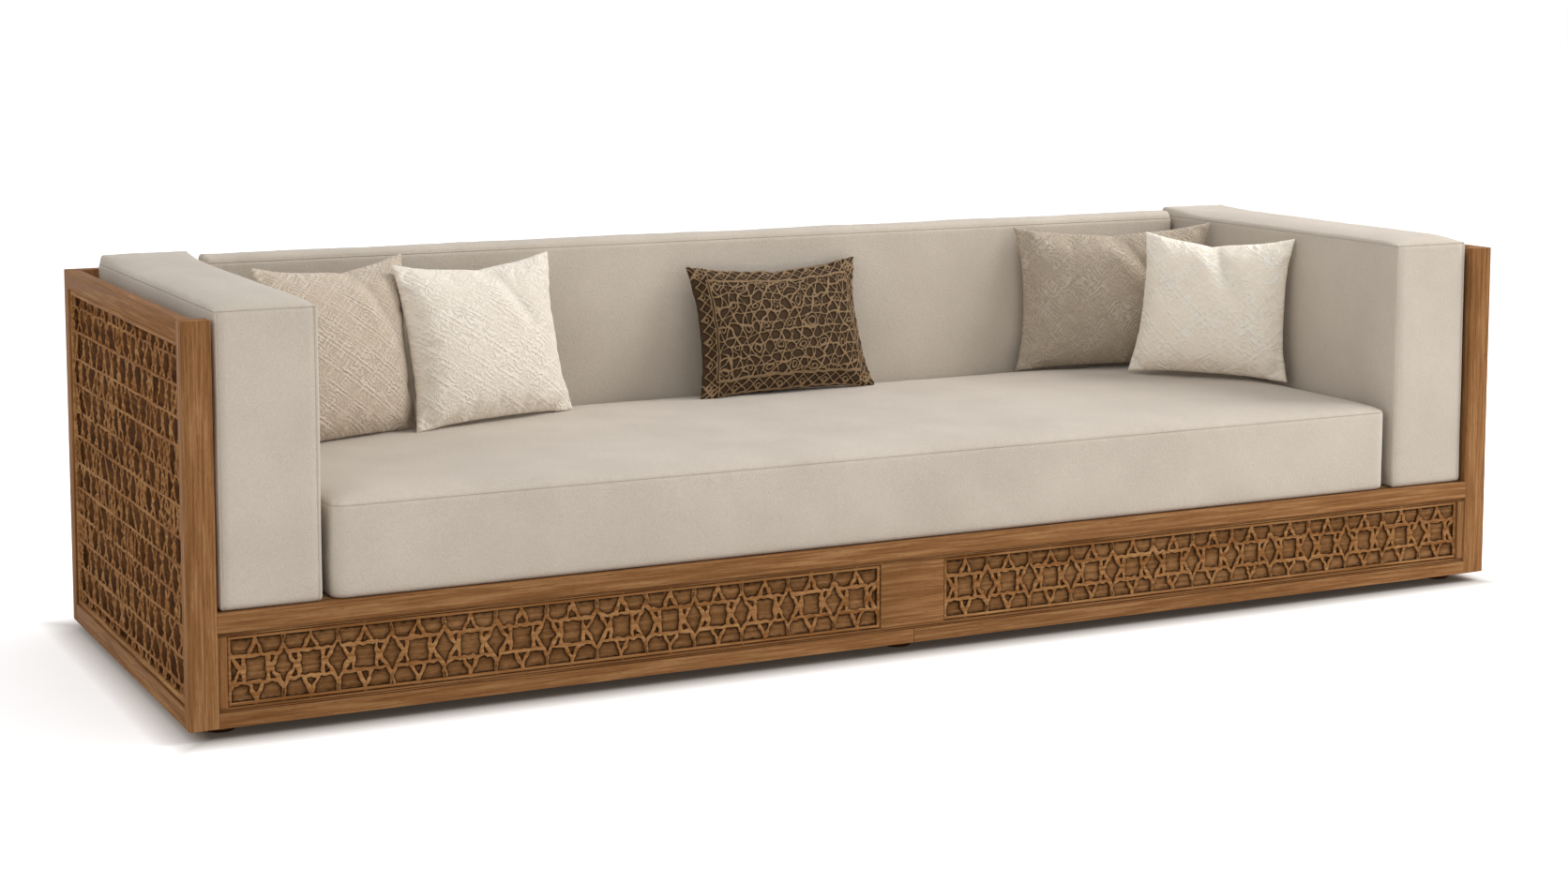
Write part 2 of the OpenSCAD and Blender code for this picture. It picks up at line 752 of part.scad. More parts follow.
pillow_a_place = [
    arm_inner_x + pillow_a_from_arm + half_foot(pillow_a_w, pillow_a_angles)[0],
    back_face_y - pillow_a_from_back - half_foot(pillow_a_w, pillow_a_angles)[1]
];
pillow_b_place = pillow_a_place + half_foot(pillow_a_w, pillow_a_angles) + [pillow_b_past, -pillow_b_before]
    + half_foot(pillow_b_w, pillow_b_angles);
pillow_c_place = [
    overall_w / 2 + pillow_c_off_middle,
    back_face_y - pillow_c_from_back - pillow_c_h * sin(pillow_c_angles[1])
];
pillow_d_place = [
    overall_w - arm_inner_x - pillow_d_from_arm - half_foot(pillow_d_w, pillow_d_angles)[0],
    back_face_y - pillow_d_from_back + half_foot(pillow_d_w, pillow_d_angles)[1]
];
pillow_e_place = [
    overall_w - arm_inner_x - pillow_e_from_arm - half_foot(pillow_e_w, pillow_e_angles)[0],
    back_face_y - pillow_e_from_back + half_foot(pillow_e_w, pillow_e_angles)[1]
];

module pillow_left_rear() {
    color(beige_colour) pillow([pillow_a_w, pillow_t, pillow_a_h], pillow_a_angles, pillow_a_place);
}

module pillow_left_front() {
    color(cream_colour) pillow([pillow_b_w, pillow_t, pillow_b_h], pillow_b_angles, pillow_b_place);
}

module pillow_middle() {
    color(brown_colour) pillow([pillow_c_w, small_pillow_t, pillow_c_h], pillow_c_angles, pillow_c_place);
}

module pillow_right_rear() {
    color(taupe_colour) pillow([pillow_d_w, pillow_t, pillow_d_h], pillow_d_angles, pillow_d_place);
}

module pillow_right_front() {
    color(cream_colour) pillow([pillow_e_w, pillow_t, pillow_e_h], pillow_e_angles, pillow_e_place);
}

left_front_post();
left_rear_post();
left_top_rail();
left_bottom_rail();
left_screen();
left_screen_backing();
left_arm_board();
left_arm_pad();
right_front_post();
right_rear_post();
right_top_rail();
right_bottom_rail();
right_screen();
right_screen_backing();
right_arm_board();
right_arm_pad();
front_top_rail();
front_bottom_rail_left();
front_bottom_rail_right();
front_mouldings_left();
front_mouldings_right();
front_panel_left();
front_panel_right();
front_centre_block();
front_end_stile_left();
front_end_stile_right();
front_panel_cleats();
back_top_rail();
back_bottom_rail();
back_centre_stile();
back_panel_left();
back_panel_right();
back_board();
back_pad();
front_beam();
rear_beam();
cross_bearers();
deck_left();
deck_middle();
deck_right();
foot_blocks();
front_feet();
rear_feet();
foot_studs();
seat_cushion();
pillow_left_rear();
pillow_left_front();
pillow_middle();
pillow_right_rear();
pillow_right_front();
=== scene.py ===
"""Dresses the long restaurant booth: hardwood case, carved front, pierced side screens, upholstery.

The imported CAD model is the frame. Hard parts of the case are the CAD solids themselves, planed and
eased along their edges; the carving, the screens, the pads, the seat and the throw pillows are
built here in the place of their solids. All lengths are metres in the frame of the model.
"""

import json
import logging
import math
from dataclasses import dataclass, field
from enum import Enum

import bmesh
import bpy
import numpy as np
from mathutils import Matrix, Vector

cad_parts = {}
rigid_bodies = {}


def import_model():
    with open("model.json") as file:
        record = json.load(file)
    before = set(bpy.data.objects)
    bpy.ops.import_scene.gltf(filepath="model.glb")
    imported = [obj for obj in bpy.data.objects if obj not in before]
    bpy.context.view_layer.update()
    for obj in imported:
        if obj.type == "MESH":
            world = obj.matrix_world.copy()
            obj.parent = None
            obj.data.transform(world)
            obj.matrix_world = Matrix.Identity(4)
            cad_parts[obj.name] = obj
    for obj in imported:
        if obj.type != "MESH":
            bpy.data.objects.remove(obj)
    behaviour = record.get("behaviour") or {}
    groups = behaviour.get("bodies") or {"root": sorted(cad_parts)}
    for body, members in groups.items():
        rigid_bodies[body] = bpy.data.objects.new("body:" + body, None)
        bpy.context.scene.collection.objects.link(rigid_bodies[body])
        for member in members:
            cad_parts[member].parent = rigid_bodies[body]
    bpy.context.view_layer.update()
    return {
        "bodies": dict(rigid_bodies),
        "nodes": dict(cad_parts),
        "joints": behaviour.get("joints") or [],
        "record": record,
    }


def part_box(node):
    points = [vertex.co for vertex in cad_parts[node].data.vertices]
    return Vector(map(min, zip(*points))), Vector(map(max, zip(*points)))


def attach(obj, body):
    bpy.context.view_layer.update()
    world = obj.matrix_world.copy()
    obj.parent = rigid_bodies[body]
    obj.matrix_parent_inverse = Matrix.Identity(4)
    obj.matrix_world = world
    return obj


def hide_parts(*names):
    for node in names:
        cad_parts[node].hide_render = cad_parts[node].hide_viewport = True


MM = 0.001
TINY = 1e-9
SQRT3 = math.sqrt(3)
CASE = "case"
SIDES = ("left", "right")
log = logging.getLogger("booth")

Colour = tuple[float, float, float, float]
Place = tuple[float, float, float]
Surface = tuple[np.ndarray, np.ndarray]
Piece = bpy.types.Object
Material = bpy.types.Material
Tree = bpy.types.NodeTree
Socket = bpy.types.NodeSocket
Value = float | Colour | Socket
Sockets = dict[str | int, Value]


# ---------------------------------------------------------------- colour and shader helpers


def linear(code: str) -> Colour:
    """Turns an sRGB hex colour into Blender's linear colour.

    Args:
        code: Six hex digits with a leading hash.

    Returns:
        Red, green, blue and alpha, linear.
    """
    parts = [int(code[i : i + 2], 16) / 255 for i in (1, 3, 5)]
    red, green, blue = (c / 12.92 if c <= 0.04045 else ((c + 0.055) / 1.055) ** 2.4 for c in parts)
    return red, green, blue, 1.0


def feed(tree: Tree, node: bpy.types.Node, sockets: Sockets) -> None:
    """Sets or links inputs of one node.

    Args:
        tree: The node's tree.
        node: The node.
        sockets: For each input, by name or number, a value or the socket that feeds it.
    """
    for key, value in sockets.items():
        if isinstance(value, Socket):
            tree.links.new(value, node.inputs[key])
        else:
            node.inputs[key].default_value = value


def add(tree: Tree, kind: str, sockets: Sockets | None = None, **settings: str) -> bpy.types.Node:
    """Adds one shader node.

    Args:
        tree: The node tree.
        kind: The node's type name, without the ShaderNode in front.
        sockets: For each input, by name or number, a value or the socket that feeds it.
        **settings: Properties of the node.

    Returns:
        The new node.
    """
    node = tree.nodes.new("ShaderNode" + kind)
    for name, value in settings.items():
        setattr(node, name, value)
    feed(tree, node, sockets or {})
    return node


@dataclass(frozen=True)
class Shading:
    """A node tree to which each method adds one value or finish."""

    tree: Tree

    def math(self, operation: str, *values: Value) -> Socket:
        """Adds one Math node and returns its output socket."""
        return add(self.tree, "Math", dict(enumerate(values)), operation=operation).outputs[0]

    def times(self, first: Value, second: Value) -> Socket:
        """First x second."""
        return self.math("MULTIPLY", first, second)

    def plus(self, first: Value, second: Value) -> Socket:
        """First + second."""
        return self.math("ADD", first, second)

    def minus(self, first: Value, second: Value) -> Socket:
        """First - second."""
        return self.math("SUBTRACT", first, second)

    def times_plus(self, first: Value, second: Value, third: Value) -> Socket:
        """First x second + third."""
        return self.math("MULTIPLY_ADD", first, second, third)

    def away(self, value: Value, middle: float) -> Socket:
        """The distance |value - middle|."""
        return self.math("ABSOLUTE", self.minus(value, middle))

    def from_line(self, value: Value) -> Socket:
        """The distance from the nearest of lines that lie halfway between whole numbers."""
        return self.away(self.math("FRACT", value), 0.5)

    def mix(self, share: Value, first: Value, second: Value, blend: str = "MIX") -> Socket:
        """Adds one colour Mix node.

        Args:
            share: How much of the second colour.
            first: The first colour.
            second: The second colour.
            blend: The way the two are blended.

        Returns:
            The mixed colour.
        """
        sockets = {0: share, 6: first, 7: second}
        return add(self.tree, "Mix", sockets, data_type="RGBA", blend_type=blend).outputs[2]

    def noise(self, vector: Socket, scale: float, detail: float, distortion: float = 0.0) -> Socket:
        """Adds one Noise texture and returns its value; scale is in cells to the metre."""
        sockets = {"Vector": vector, "Scale": scale, "Detail": detail, "Distortion": distortion}
        return add(self.tree, "TexNoise", sockets).outputs[0]

    def ramp(self, value: Value, stops: list[tuple[float, str]]) -> Socket:
        """Adds one Color Ramp.

        Args:
            value: Where on the ramp.
            stops: Place and hex colour of each stop.

        Returns:
            The colour.
        """
        node = add(self.tree, "ValToRGB", {0: value})
        while len(node.color_ramp.elements) < len(stops):
            node.color_ramp.elements.new(0.5)
        for element, (place, code) in zip(node.color_ramp.elements, stops):
            element.position = place
            element.color = linear(code)
        return node.outputs[0]

    def spread(self, value: Value, low: float, high: float, to_low: float = 0.0,
               to_high: float = 1.0) -> Socket:
        """Adds one Map Range node that carries low..high to to_low..to_high, clamped."""
        sockets = {0: value, 1: low, 2: high, 3: to_low, 4: to_high}
        return add(self.tree, "MapRange", sockets).outputs[0]

    def object_place(self) -> Socket:
        """The Object coordinates, in metres."""
        return add(self.tree, "TexCoord").outputs["Object"]

    def cloth_place(self) -> Socket:
        """The piece's own cloth UV, in metres."""
        return add(self.tree, "UVMap", uv_map="cloth").outputs[0]

    def attribute(self, name: str) -> Socket:
        """A number that the piece holds for each of its points."""
        return add(self.tree, "Attribute", attribute_name=name).outputs["Fac"]

    def shown_white(self) -> Socket:
        """Tells what is looked at from what gives light.

        Returns:
            1 for rays from the camera, a mirror or glass, and 0 for all others.
        """
        path = add(self.tree, "LightPath").outputs
        seen = self.math("MAXIMUM", path["Is Camera Ray"], path["Is Glossy Ray"])
        return self.math("MAXIMUM", seen, path["Is Transmission Ray"])

    def finish(self, sockets: Sockets, height: Socket | None = None, depth_mm: float = 0.0,
               strength: float = 0.5) -> None:
        """Feeds the Principled shader.

        Args:
            sockets: For each input, by name, a value or the socket that feeds it.
            height: The relief, or None for a smooth surface.
            depth_mm: How deep a height of 1 is, in mm.
            strength: The share of the relief that shows.
        """
        if height is not None:
            bump = {"Height": height, "Distance": depth_mm * MM, "Strength": strength}
            sockets = {**sockets, "Normal": add(self.tree, "Bump", bump).outputs[0]}
        feed(self.tree, self.tree.nodes["Principled BSDF"], sockets)


def new_material(name: str) -> tuple[Material, Shading]:
    """Makes an empty node material with one Principled shader.

    Args:
        name: The finish, in plain words.

    Returns:
        The material, and what adds to its node tree.
    """
    material = bpy.data.materials.new(name)
    material.use_nodes = True
    return material, Shading(material.node_tree)


# ---------------------------------------------------------------- finishes


class Grain(Enum):
    """The direction in which a board's grain runs."""

    ALONG_X = 0
    ALONG_Y = 1
    ALONG_Z = 2


@dataclass(frozen=True)
class OiledWood:
    """Oiled hardwood with straight grain: broad bands, fine stripes and open pores.

    Where its shade attribute is high a board is painted darker, towards its pore colour: painted
    shade in carved corners and beside straps.
    """

    name: str
    dark: str
    middle: str
    light: str
    pore: str
    roughness: float = 0.5
    band_mm: float = 34.0
    stripe_mm: float = 7.0
    pore_mm: float = 0.8
    painted_shade_strength: float = 0.0
    pore_share: float = 0.55
    gloss: float = 0.015
    relief_mm: float = 0.25

    def material(self, grain: Grain, board: int) -> Material:
        """Makes the finish of one board: colour by 0.38 bands + 0.62 stripes, dark in the pores.

        Args:
            grain: The direction of the grain.
            board: A number that moves the figure, so that no two boards match.

        Returns:
            The material.
        """
        material, nodes = new_material(f"{self.name}_{grain.name.lower()}_{board}")
        place = nodes.object_place()
        shift = (board * 3.71, board * 1.93, board * 5.17)

        def fibres(wide_mm: float, drawn: float, detail: float, bend: float = 0.0) -> Socket:
            """Adds noise in cells that are drawn out along the grain.

            Args:
                wide_mm: Width of a cell.
                drawn: How many times longer it is.
                detail: Detail of the noise.
                bend: Distortion of the noise.

            Returns:
                The noise.
            """
            scale = [1000 / wide_mm] * 3
            scale[grain.value] = 1000 / (wide_mm * drawn)
            sockets = {"Vector": place, "Location": shift, "Scale": scale}
            return nodes.noise(add(nodes.tree, "Mapping", sockets).outputs[0], 1.0, detail, bend)

        bands = fibres(self.band_mm, 16, 3.0, 1.3)
        stripes = fibres(self.stripe_mm, 34, 3.0, 0.5)
        pores = fibres(self.pore_mm, 24, 1.0)
        figure = nodes.plus(nodes.times(bands, 0.38), nodes.times(stripes, 0.62))
        colour = nodes.ramp(figure, [(0.38, self.dark), (0.5, self.middle), (0.61, self.light)])
        open_pore = nodes.spread(pores, 0.56, 0.72)
        colour = nodes.mix(nodes.times(open_pore, self.pore_share), colour, linear(self.pore))
        # Painted shade: the carved ground darkens towards the pore colour beside the straps.
        if self.painted_shade_strength > 0:
            painted_shade = nodes.times(nodes.attribute("painted_shade"), self.painted_shade_strength)
            colour = nodes.mix(painted_shade, colour, linear(self.pore))
        rough = nodes.spread(stripes, 0.3, 0.7, self.roughness - 0.06, self.roughness + 0.08)
        relief = nodes.minus(nodes.times(stripes, 0.5), open_pore)
        nodes.finish({"Base Color": colour, "Roughness": rough, "Specular IOR Level": self.gloss},
                     relief, self.relief_mm)
        return material


@dataclass(frozen=True)
class Upholstery:
    """Soft flat-woven cloth: a fine weave of 0.9 mm with a shallow crinkle about 9 mm wide."""

    name: str
    warm: str
    cool: str
    crinkle_mm: float = 9.0
    slub_mm: float = 3.0
    weave_mm: float = 0.9
    fuzz: float = 0.18
    relief_mm: float = 1.8

    def material(self) -> Material:
        """Makes the cloth: height = crinkle + 0.4 weave + 0.4 slub; it is painted lighter where it
        stands high, a painted highlight over the threads' own tone.

        Returns:
            The material, which reads Object coordinates alone.
        """
        material, nodes = new_material(self.name)
        place = nodes.object_place()
        clouds = nodes.noise(place, 5.0, 3.0)
        weave = nodes.noise(place, 1000 / self.weave_mm, 1.0)
        slub = nodes.noise(place, 1000 / self.slub_mm, 2.0, 0.6)
        crinkle = nodes.noise(place, 1000 / self.crinkle_mm, 2.0, 1.8)
        colour = nodes.mix(nodes.spread(clouds, 0.35, 0.65), linear(self.warm), linear(self.cool))
        tone = nodes.times(nodes.spread(weave, 0.3, 0.7, 0.94, 1.05),
                           nodes.spread(slub, 0.35, 0.65, 0.97, 1.03))
        tone = nodes.times(tone, nodes.spread(crinkle, 0.35, 0.65, 0.975, 1.02))
        relief = nodes.plus(crinkle, nodes.times(weave, 0.4))
        relief = nodes.plus(relief, nodes.times(slub, 0.4))
        colour = nodes.mix(1.0, colour, tone, "MULTIPLY")
        nodes.finish({"Base Color": colour, "Roughness": 0.86, "Specular IOR Level": 0.2,
                      "Sheen Weight": self.fuzz, "Sheen Roughness": 0.5},
                     relief, self.relief_mm, 0.6)
        return material


@dataclass(frozen=True)
class Jacquard:
    """Figured cloth with raised lines in nested diamonds that run into curls.

    It is laid out in the pillow's own UV, in metres. The real lines are about 8 mm apart; they are
    drawn up to 11 mm apart, so that they show from across a room.
    """

    name: str
    ground: str
    raised: str
    diamond_mm: float
    rings: int
    turn: float
    squeeze: float = 1.0
    curl: float = 0.5
    bars: float = 0.4
    bar_mm: float = 34.0
    fuzz: float = 0.1
    relief_mm: float = 3.2

    def material(self) -> Material:
        """Makes the cloth: height = curled rings + paired diagonal bars + crepe + threads.

        Returns:
            The material, which reads the pillow's cloth UV and its attribute crease.
        """
        material, nodes = new_material(self.name)
        flat = nodes.cloth_place()
        size = 1000 / self.diamond_mm
        turned = add(nodes.tree, "Mapping", {
            "Vector": flat, "Rotation": (0, 0, math.radians(self.turn)),
            "Scale": (size, size * self.squeeze, 1)})
        x, y, _ = add(nodes.tree, "SeparateXYZ", {0: turned.outputs[0]}).outputs
        diamond = nodes.math("MAXIMUM", nodes.from_line(x), nodes.from_line(y))
        curls = nodes.noise(flat, 26.0, 1.5, 0.8)
        phase = nodes.times_plus(diamond, 2.0 * self.rings, nodes.times(curls, 5.0 * self.curl))
        rings = nodes.times(nodes.math("PINGPONG", phase, 0.5), 2.0)
        patches = nodes.spread(nodes.noise(flat, 13.0, 2.0), 0.38, 0.6, 0.35, 1.0)
        rings = nodes.times(nodes.spread(rings, 0.25, 0.75), patches)
        both = []
        for part, squeeze, height in ((y, self.squeeze, 1.0), (x, 1.6, 0.75)):
            bar = nodes.from_line(nodes.times(part, self.diamond_mm / (self.bar_mm * squeeze)))
            both.append(nodes.spread(nodes.away(bar, 0.12), 0.02, 0.07, height, 0.0))
        bars = nodes.times(nodes.math("MAXIMUM", *both), patches)
        crepe = nodes.noise(flat, 120.0, 2.0, 1.4)
        thread = nodes.noise(flat, 1100.0, 1.0)
        height = nodes.times_plus(bars, self.bars, nodes.times(rings, 0.45))
        height = nodes.times_plus(crepe, 0.75, height)
        height = nodes.times_plus(thread, 0.2, height)
        # Where the cloth stands high it is painted lighter: the raised threads' own tone and a
        # painted highlight on the relief.
        colour = nodes.mix(nodes.spread(height, 0.3, 1.2), linear(self.ground), linear(self.raised))
        # Painted shade in the folds' hollows and a painted highlight on their ridges, from the
        # fold's height.
        crease_shade = nodes.spread(nodes.attribute("crease_shade"), -0.6, 1.0, 1.04, 0.86)
        colour = nodes.mix(1.0, colour, crease_shade, "MULTIPLY")
        nodes.finish({"Base Color": colour, "Roughness": 0.8, "Specular IOR Level": 0.12,
                      "Sheen Weight": self.fuzz, "Sheen Roughness": 0.45},
                     height, self.relief_mm, 0.9)
        return material


@dataclass(frozen=True)
class CordedCloth:
    """Brown cloth with couched cord.

    Its attributes relief and shade say where cord lies and where it throws shade, 0 to 1.
    """

    name: str = "brown_corded_cloth"
    ground: str = "#483726"
    # slope, near the ground's colour, is painted shade on the cord's sides; hollow is the colour of
    # the painted shade beside the cord and on its edges.
    slope: str = "#4b3a29"
    cord: str = "#93795b"
    hollow: str = "#1d140c"

    def material(self) -> Material:
        """Makes the cloth: dark ground; cord painted dark on its slopes as shade and in its own
        light colour on the crown; painted shade beside it; twisted threads 1.2 mm wide.

        Returns:
            The material, which reads the pillow's cloth UV and both attributes.
        """
        material, nodes = new_material(self.name)
        thread = nodes.noise(nodes.cloth_place(), 800.0, 2.0, 0.8)
        height = nodes.plus(nodes.attribute("relief"), nodes.times(nodes.minus(thread, 0.5), 0.5))
        # Colour by the cord's height: painted shade on its slopes, its own light colour on the
        # crown; then painted shade beside it.
        colour = nodes.ramp(height, [(0.1, self.ground), (0.6, self.slope), (1.0, self.cord)])
        shade = nodes.times(nodes.attribute("shade"), 0.85)
        colour = nodes.mix(shade, colour, linear(self.hollow))
        nodes.finish({"Base Color": colour, "Roughness": 0.85, "Specular IOR Level": 0.1,
                      "Sheen Weight": 0.04}, thread, 0.8, 0.6)
        return material


@dataclass(frozen=True)
class Steel:
    """Zinc-plated steel of the foot studs, with a mottle about 4.5 mm wide."""

    name: str = "zinc_steel"
    dull: str = "#8f9296"
    bright: str = "#b3b5b8"

    def material(self) -> Material:
        """Makes the metal.

        Returns:
            The material.
        """
        material, nodes = new_material(self.name)
        tone = nodes.spread(nodes.noise(nodes.object_place(), 220.0, 3.0), 0.3, 0.7)
        nodes.finish({"Base Color": nodes.mix(tone, linear(self.dull), linear(self.bright)),
                      "Roughness": nodes.spread(tone, 0, 1, 0.3, 0.45), "Metallic": 1.0})
        return material


HARDWOOD = OiledWood("oiled_hardwood", "#7a5331", "#8d623d", "#a27950", "#5d3d22",
                     roughness=0.5, band_mm=30, stripe_mm=4.6)
CARVED = OiledWood("carved_hardwood", "#82562f", "#9a6d44", "#ae8356", "#5c3c22",
                   roughness=0.52, band_mm=30, stripe_mm=6)
# A darker copy of the carved wood for the sunk ground and the straps' side walls: painted shade,
# with more painted shade beside the straps.
SHADED_GROUND = OiledWood("carved_ground", "#75502f", "#87603c", "#9b714a", "#22130a",
                   roughness=0.6, band_mm=26, stripe_mm=6, painted_shade_strength=0.93)
FOOT = OiledWood("stained_feet", "#3b2618", "#4a3020", "#573a26", "#25170d",
                 roughness=0.5, band_mm=40, stripe_mm=9)
STAINED = OiledWood("stained_backing", "#4a2d16", "#5a391e", "#6b4626", "#341e0e",
                    roughness=0.7, band_mm=40, stripe_mm=9)
PLYWOOD = OiledWood("plywood", "#b08d62", "#c4a377", "#d3b78f", "#96754c",
                    roughness=0.62, band_mm=60, stripe_mm=11, pore_mm=1.2)
GREIGE = Upholstery("greige_seat_cloth", "#cabfb1", "#c2b7a9")
# A darker copy of the seat cloth for the seam rolls: painted shade of the seams' grooves.
SEAM_SHADE = Upholstery("greige_seam_thread", "#bbafa1", "#b3a799")
CREAM = Jacquard("cream_jacquard", "#e6dccd", "#f8efe3", diamond_mm=62, rings=2, turn=42,
                 squeeze=1.4, curl=0.9, bars=0.42, bar_mm=40)
# A lighter cream cloth for the right front pillow, which faces away from the key lamp: painted
# light.
CREAM_PAINTED_LIGHT = Jacquard("ivory_jacquard", "#fdeedb", "#fffbf0", diamond_mm=66, rings=2, turn=48,
                 squeeze=1.3, curl=0.8, bars=0.46, bar_mm=46)
BEIGE = Jacquard("beige_jacquard", "#bdac98", "#dccebd", diamond_mm=58, rings=3, turn=42,
                 squeeze=1.25, curl=0.7, bars=0.62, bar_mm=34)
TAUPE = Jacquard("taupe_jacquard", "#a89986", "#cabcaa", diamond_mm=60, rings=3, turn=45,
                 squeeze=1.1, curl=1.0, bars=0.24, bar_mm=56)
BROWN = CordedCloth()


# ---------------------------------------------------------------- mesh helpers


def grid_faces(rows: int, columns: int, start: int = 0, closed: bool = False) -> np.ndarray:
    """Quads between the points of a grid stored row by row.

    Args:
        rows: Number of rows.
        columns: Points in a row.
        start: Number of the first point.
        closed: Whether each row's last point joins its first.

    Returns:
        An array of four point numbers for each quad.
    """
    across = np.arange(columns if closed else columns - 1)
    down = np.arange(rows - 1)[:, None]
    near, far = down * columns + across, down * columns + (across + 1) % columns
    quads = np.stack([near, far, far + columns, near + columns], axis=-1)
    return quads.reshape(-1, 4) + start


def make_piece(name: str, points: np.ndarray, faces: np.ndarray | list, material: Material,
               smooth: bool = True) -> Piece:
    """Makes a mesh object at the origin from computed points.

    Args:
        name: The piece's name.
        points: Points in metres, in the frame of the model.
        faces: Point numbers of each face.
        material: The finish.
        smooth: Whether the faces are shaded smooth.

    Returns:
        The new object.
    """
    mesh = bpy.data.meshes.new(name)
    faces = faces.tolist() if isinstance(faces, np.ndarray) else faces
    mesh.from_pydata(np.asarray(points).tolist(), [], faces)
    mesh.polygons.foreach_set("use_smooth", np.full(len(mesh.polygons), smooth))
    mesh.materials.append(material)
    mesh.update()
    piece = bpy.data.objects.new(name, mesh)
    bpy.context.scene.collection.objects.link(piece)
    return piece


def hand_over(piece: Piece, node: str, body: str) -> None:
    """Puts a piece in the place of its solid.

    Args:
        piece: The finished piece.
        node: The CAD node that it stands for.
        body: The body that it moves with.
    """
    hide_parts(node)
    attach(piece, body)


def second_finish(piece: Piece, material: Material, chosen: np.ndarray) -> None:
    """Gives some faces of a piece another finish.

    Args:
        piece: The piece.
        material: The other finish.
        chosen: For each face, whether it has that finish.
    """
    piece.data.materials.append(material)
    piece.data.polygons.foreach_set("material_index", chosen.astype(np.int32))


def write_attribute(mesh: bpy.types.Mesh, name: str, values: np.ndarray) -> None:
    """Stores one number for each point of a mesh, which a material reads."""
    layer = mesh.attributes.new(name, "FLOAT", "POINT")
    layer.data.foreach_set("value", values.astype(np.float32))


def read(items: bpy.types.bpy_prop_collection, what: str, width: int = 3,
         kind: type = float) -> np.ndarray:
    """Reads one property of all points or corners of a mesh.

    Args:
        items: The mesh's points or corners.
        what: The property.
        width: Numbers in one value.
        kind: The type of the numbers.

    Returns:
        One row for each item.
    """
    values = np.empty(len(items) * width, dtype=kind)
    items.foreach_get(what, values)
    return values.reshape(-1, width)


def evaluated(piece: Piece) -> Piece:
    """The piece as its modifiers leave it."""
    return piece.evaluated_get(bpy.context.evaluated_depsgraph_get())


def subdivide(piece: Piece, levels: int) -> None:
    """Makes a piece's surface finer and rounder."""
    finer = piece.modifiers.new("finer", "SUBSURF")
    finer.levels = finer.render_levels = levels


def solid_box(node: str) -> tuple[np.ndarray, np.ndarray]:
    """Lowest and highest corner of a CAD node."""
    low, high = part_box(node)
    return np.array(low), np.array(high)


def join_parts(parts: list[Surface]) -> Surface:
    """Stacks several sets of points and quads into one.

    Args:
        parts: Points and quads of each part.

    Returns:
        All points, and all quads renumbered.
    """
    starts = np.cumsum([0] + [len(points) for points, _ in parts[:-1]])
    points = np.concatenate([points for points, _ in parts])
    return points, np.concatenate([quads + start for (_, quads), start in zip(parts, starts)])


def ripple(places: np.ndarray, wave: float, seed: int, sines: int = 8) -> np.ndarray:
    """Smooth noise of about -1 to 1 at each place.

    Height = mean of eight sines along fixed random directions, each with its own phase.

    Args:
        places: Points, in metres, of any number of axes.
        wave: Length of a wave, in metres.
        seed: Picks the directions.
        sines: Number of sines.

    Returns:
        One number for each place.
    """
    chance = np.random.default_rng(seed)
    ways = chance.normal(size=(sines, places.shape[-1]))
    ways /= np.linalg.norm(ways, axis=1, keepdims=True)
    ways *= (2 * math.pi / wave) * chance.uniform(0.7, 1.3, size=(sines, 1))
    return np.sin(places @ ways.T + chance.uniform(0, 2 * math.pi, sines)).mean(axis=-1) * 2


def drift(places: np.ndarray, wave: float, seed: int) -> np.ndarray:
    """Two ripples at each place, one along and one up, with seed and seed + 1."""
    return np.stack([ripple(places, wave, seed), ripple(places, wave, seed + 1)], axis=1)


def weld(piece: Piece, distance: float = 0.02 * MM, flatten: bool = False) -> None:
    """Joins points that lie on each other.

    Args:
        piece: The piece.
        distance: How near two points lie that become one.
        flatten: Whether edges within flat faces go as well.
    """
    form = bmesh.new()
    form.from_mesh(piece.data)
    bmesh.ops.remove_doubles(form, verts=form.verts, dist=distance)
    if flatten:
        bmesh.ops.dissolve_limit(form, angle_limit=math.radians(1), verts=form.verts,
                                 edges=form.edges)
    form.to_mesh(piece.data)
    form.free()
    piece.data.update()


def cord_along(path: np.ndarray, radius: float, closed: bool = False, sides: int = 8) -> Surface:
    """A round cord along a path.

    Point = path + radius x (cos t x side + sin t x lift), with side and lift square to the path.

    Args:
        path: Points of the path, in metres.
        radius: The cord's radius.
        closed: Whether the path joins up.
        sides: Points in the ring round each point of the path.

    Returns:
        Points and quads.
    """
    ahead, behind = np.roll(path, -1, axis=0), np.roll(path, 1, axis=0)
    if not closed:
        ahead[-1], behind[0] = path[-1], path[0]
    way = ahead - behind
    way /= np.linalg.norm(way, axis=1, keepdims=True)
    upright = np.abs(way[:, 2:3]) > 0.7
    side = np.cross(way, np.where(upright, [[0.0, 1.0, 0.0]], [[0.0, 0.0, 1.0]]))
    side /= np.linalg.norm(side, axis=1, keepdims=True)
    lift = np.cross(side, way)
    turn = np.linspace(0, 2 * math.pi, sides, endpoint=False)
    ring = np.cos(turn)[None, :, None] * side[:, None] + np.sin(turn)[None, :, None] * lift[:, None]
    rings = path[:, None] + radius * ring
    if closed:
        rings = np.concatenate([rings, rings[:1]])
    return rings.reshape(-1, 3), grid_faces(len(rings), sides, closed=True)


def block(low: Place, high: Place) -> Surface:
    """A plain board: point = low + corner x (high - low).

    Args:
        low: Its lowest corner.
        high: Its highest corner.

    Returns:
        Points and quads.
    """
    corner = np.array([[x, y, z] for x in (0, 1) for y in (0, 1) for z in (0, 1)])
    quads = np.array([[0, 1, 3, 2], [4, 6, 7, 5], [0, 4, 5, 1],
                      [2, 3, 7, 6], [0, 2, 6, 4], [1, 5, 7, 3]])
    return np.array(low) + corner * (np.array(high) - np.array(low)), quads


# ---------------------------------------------------------------- lines in a plane


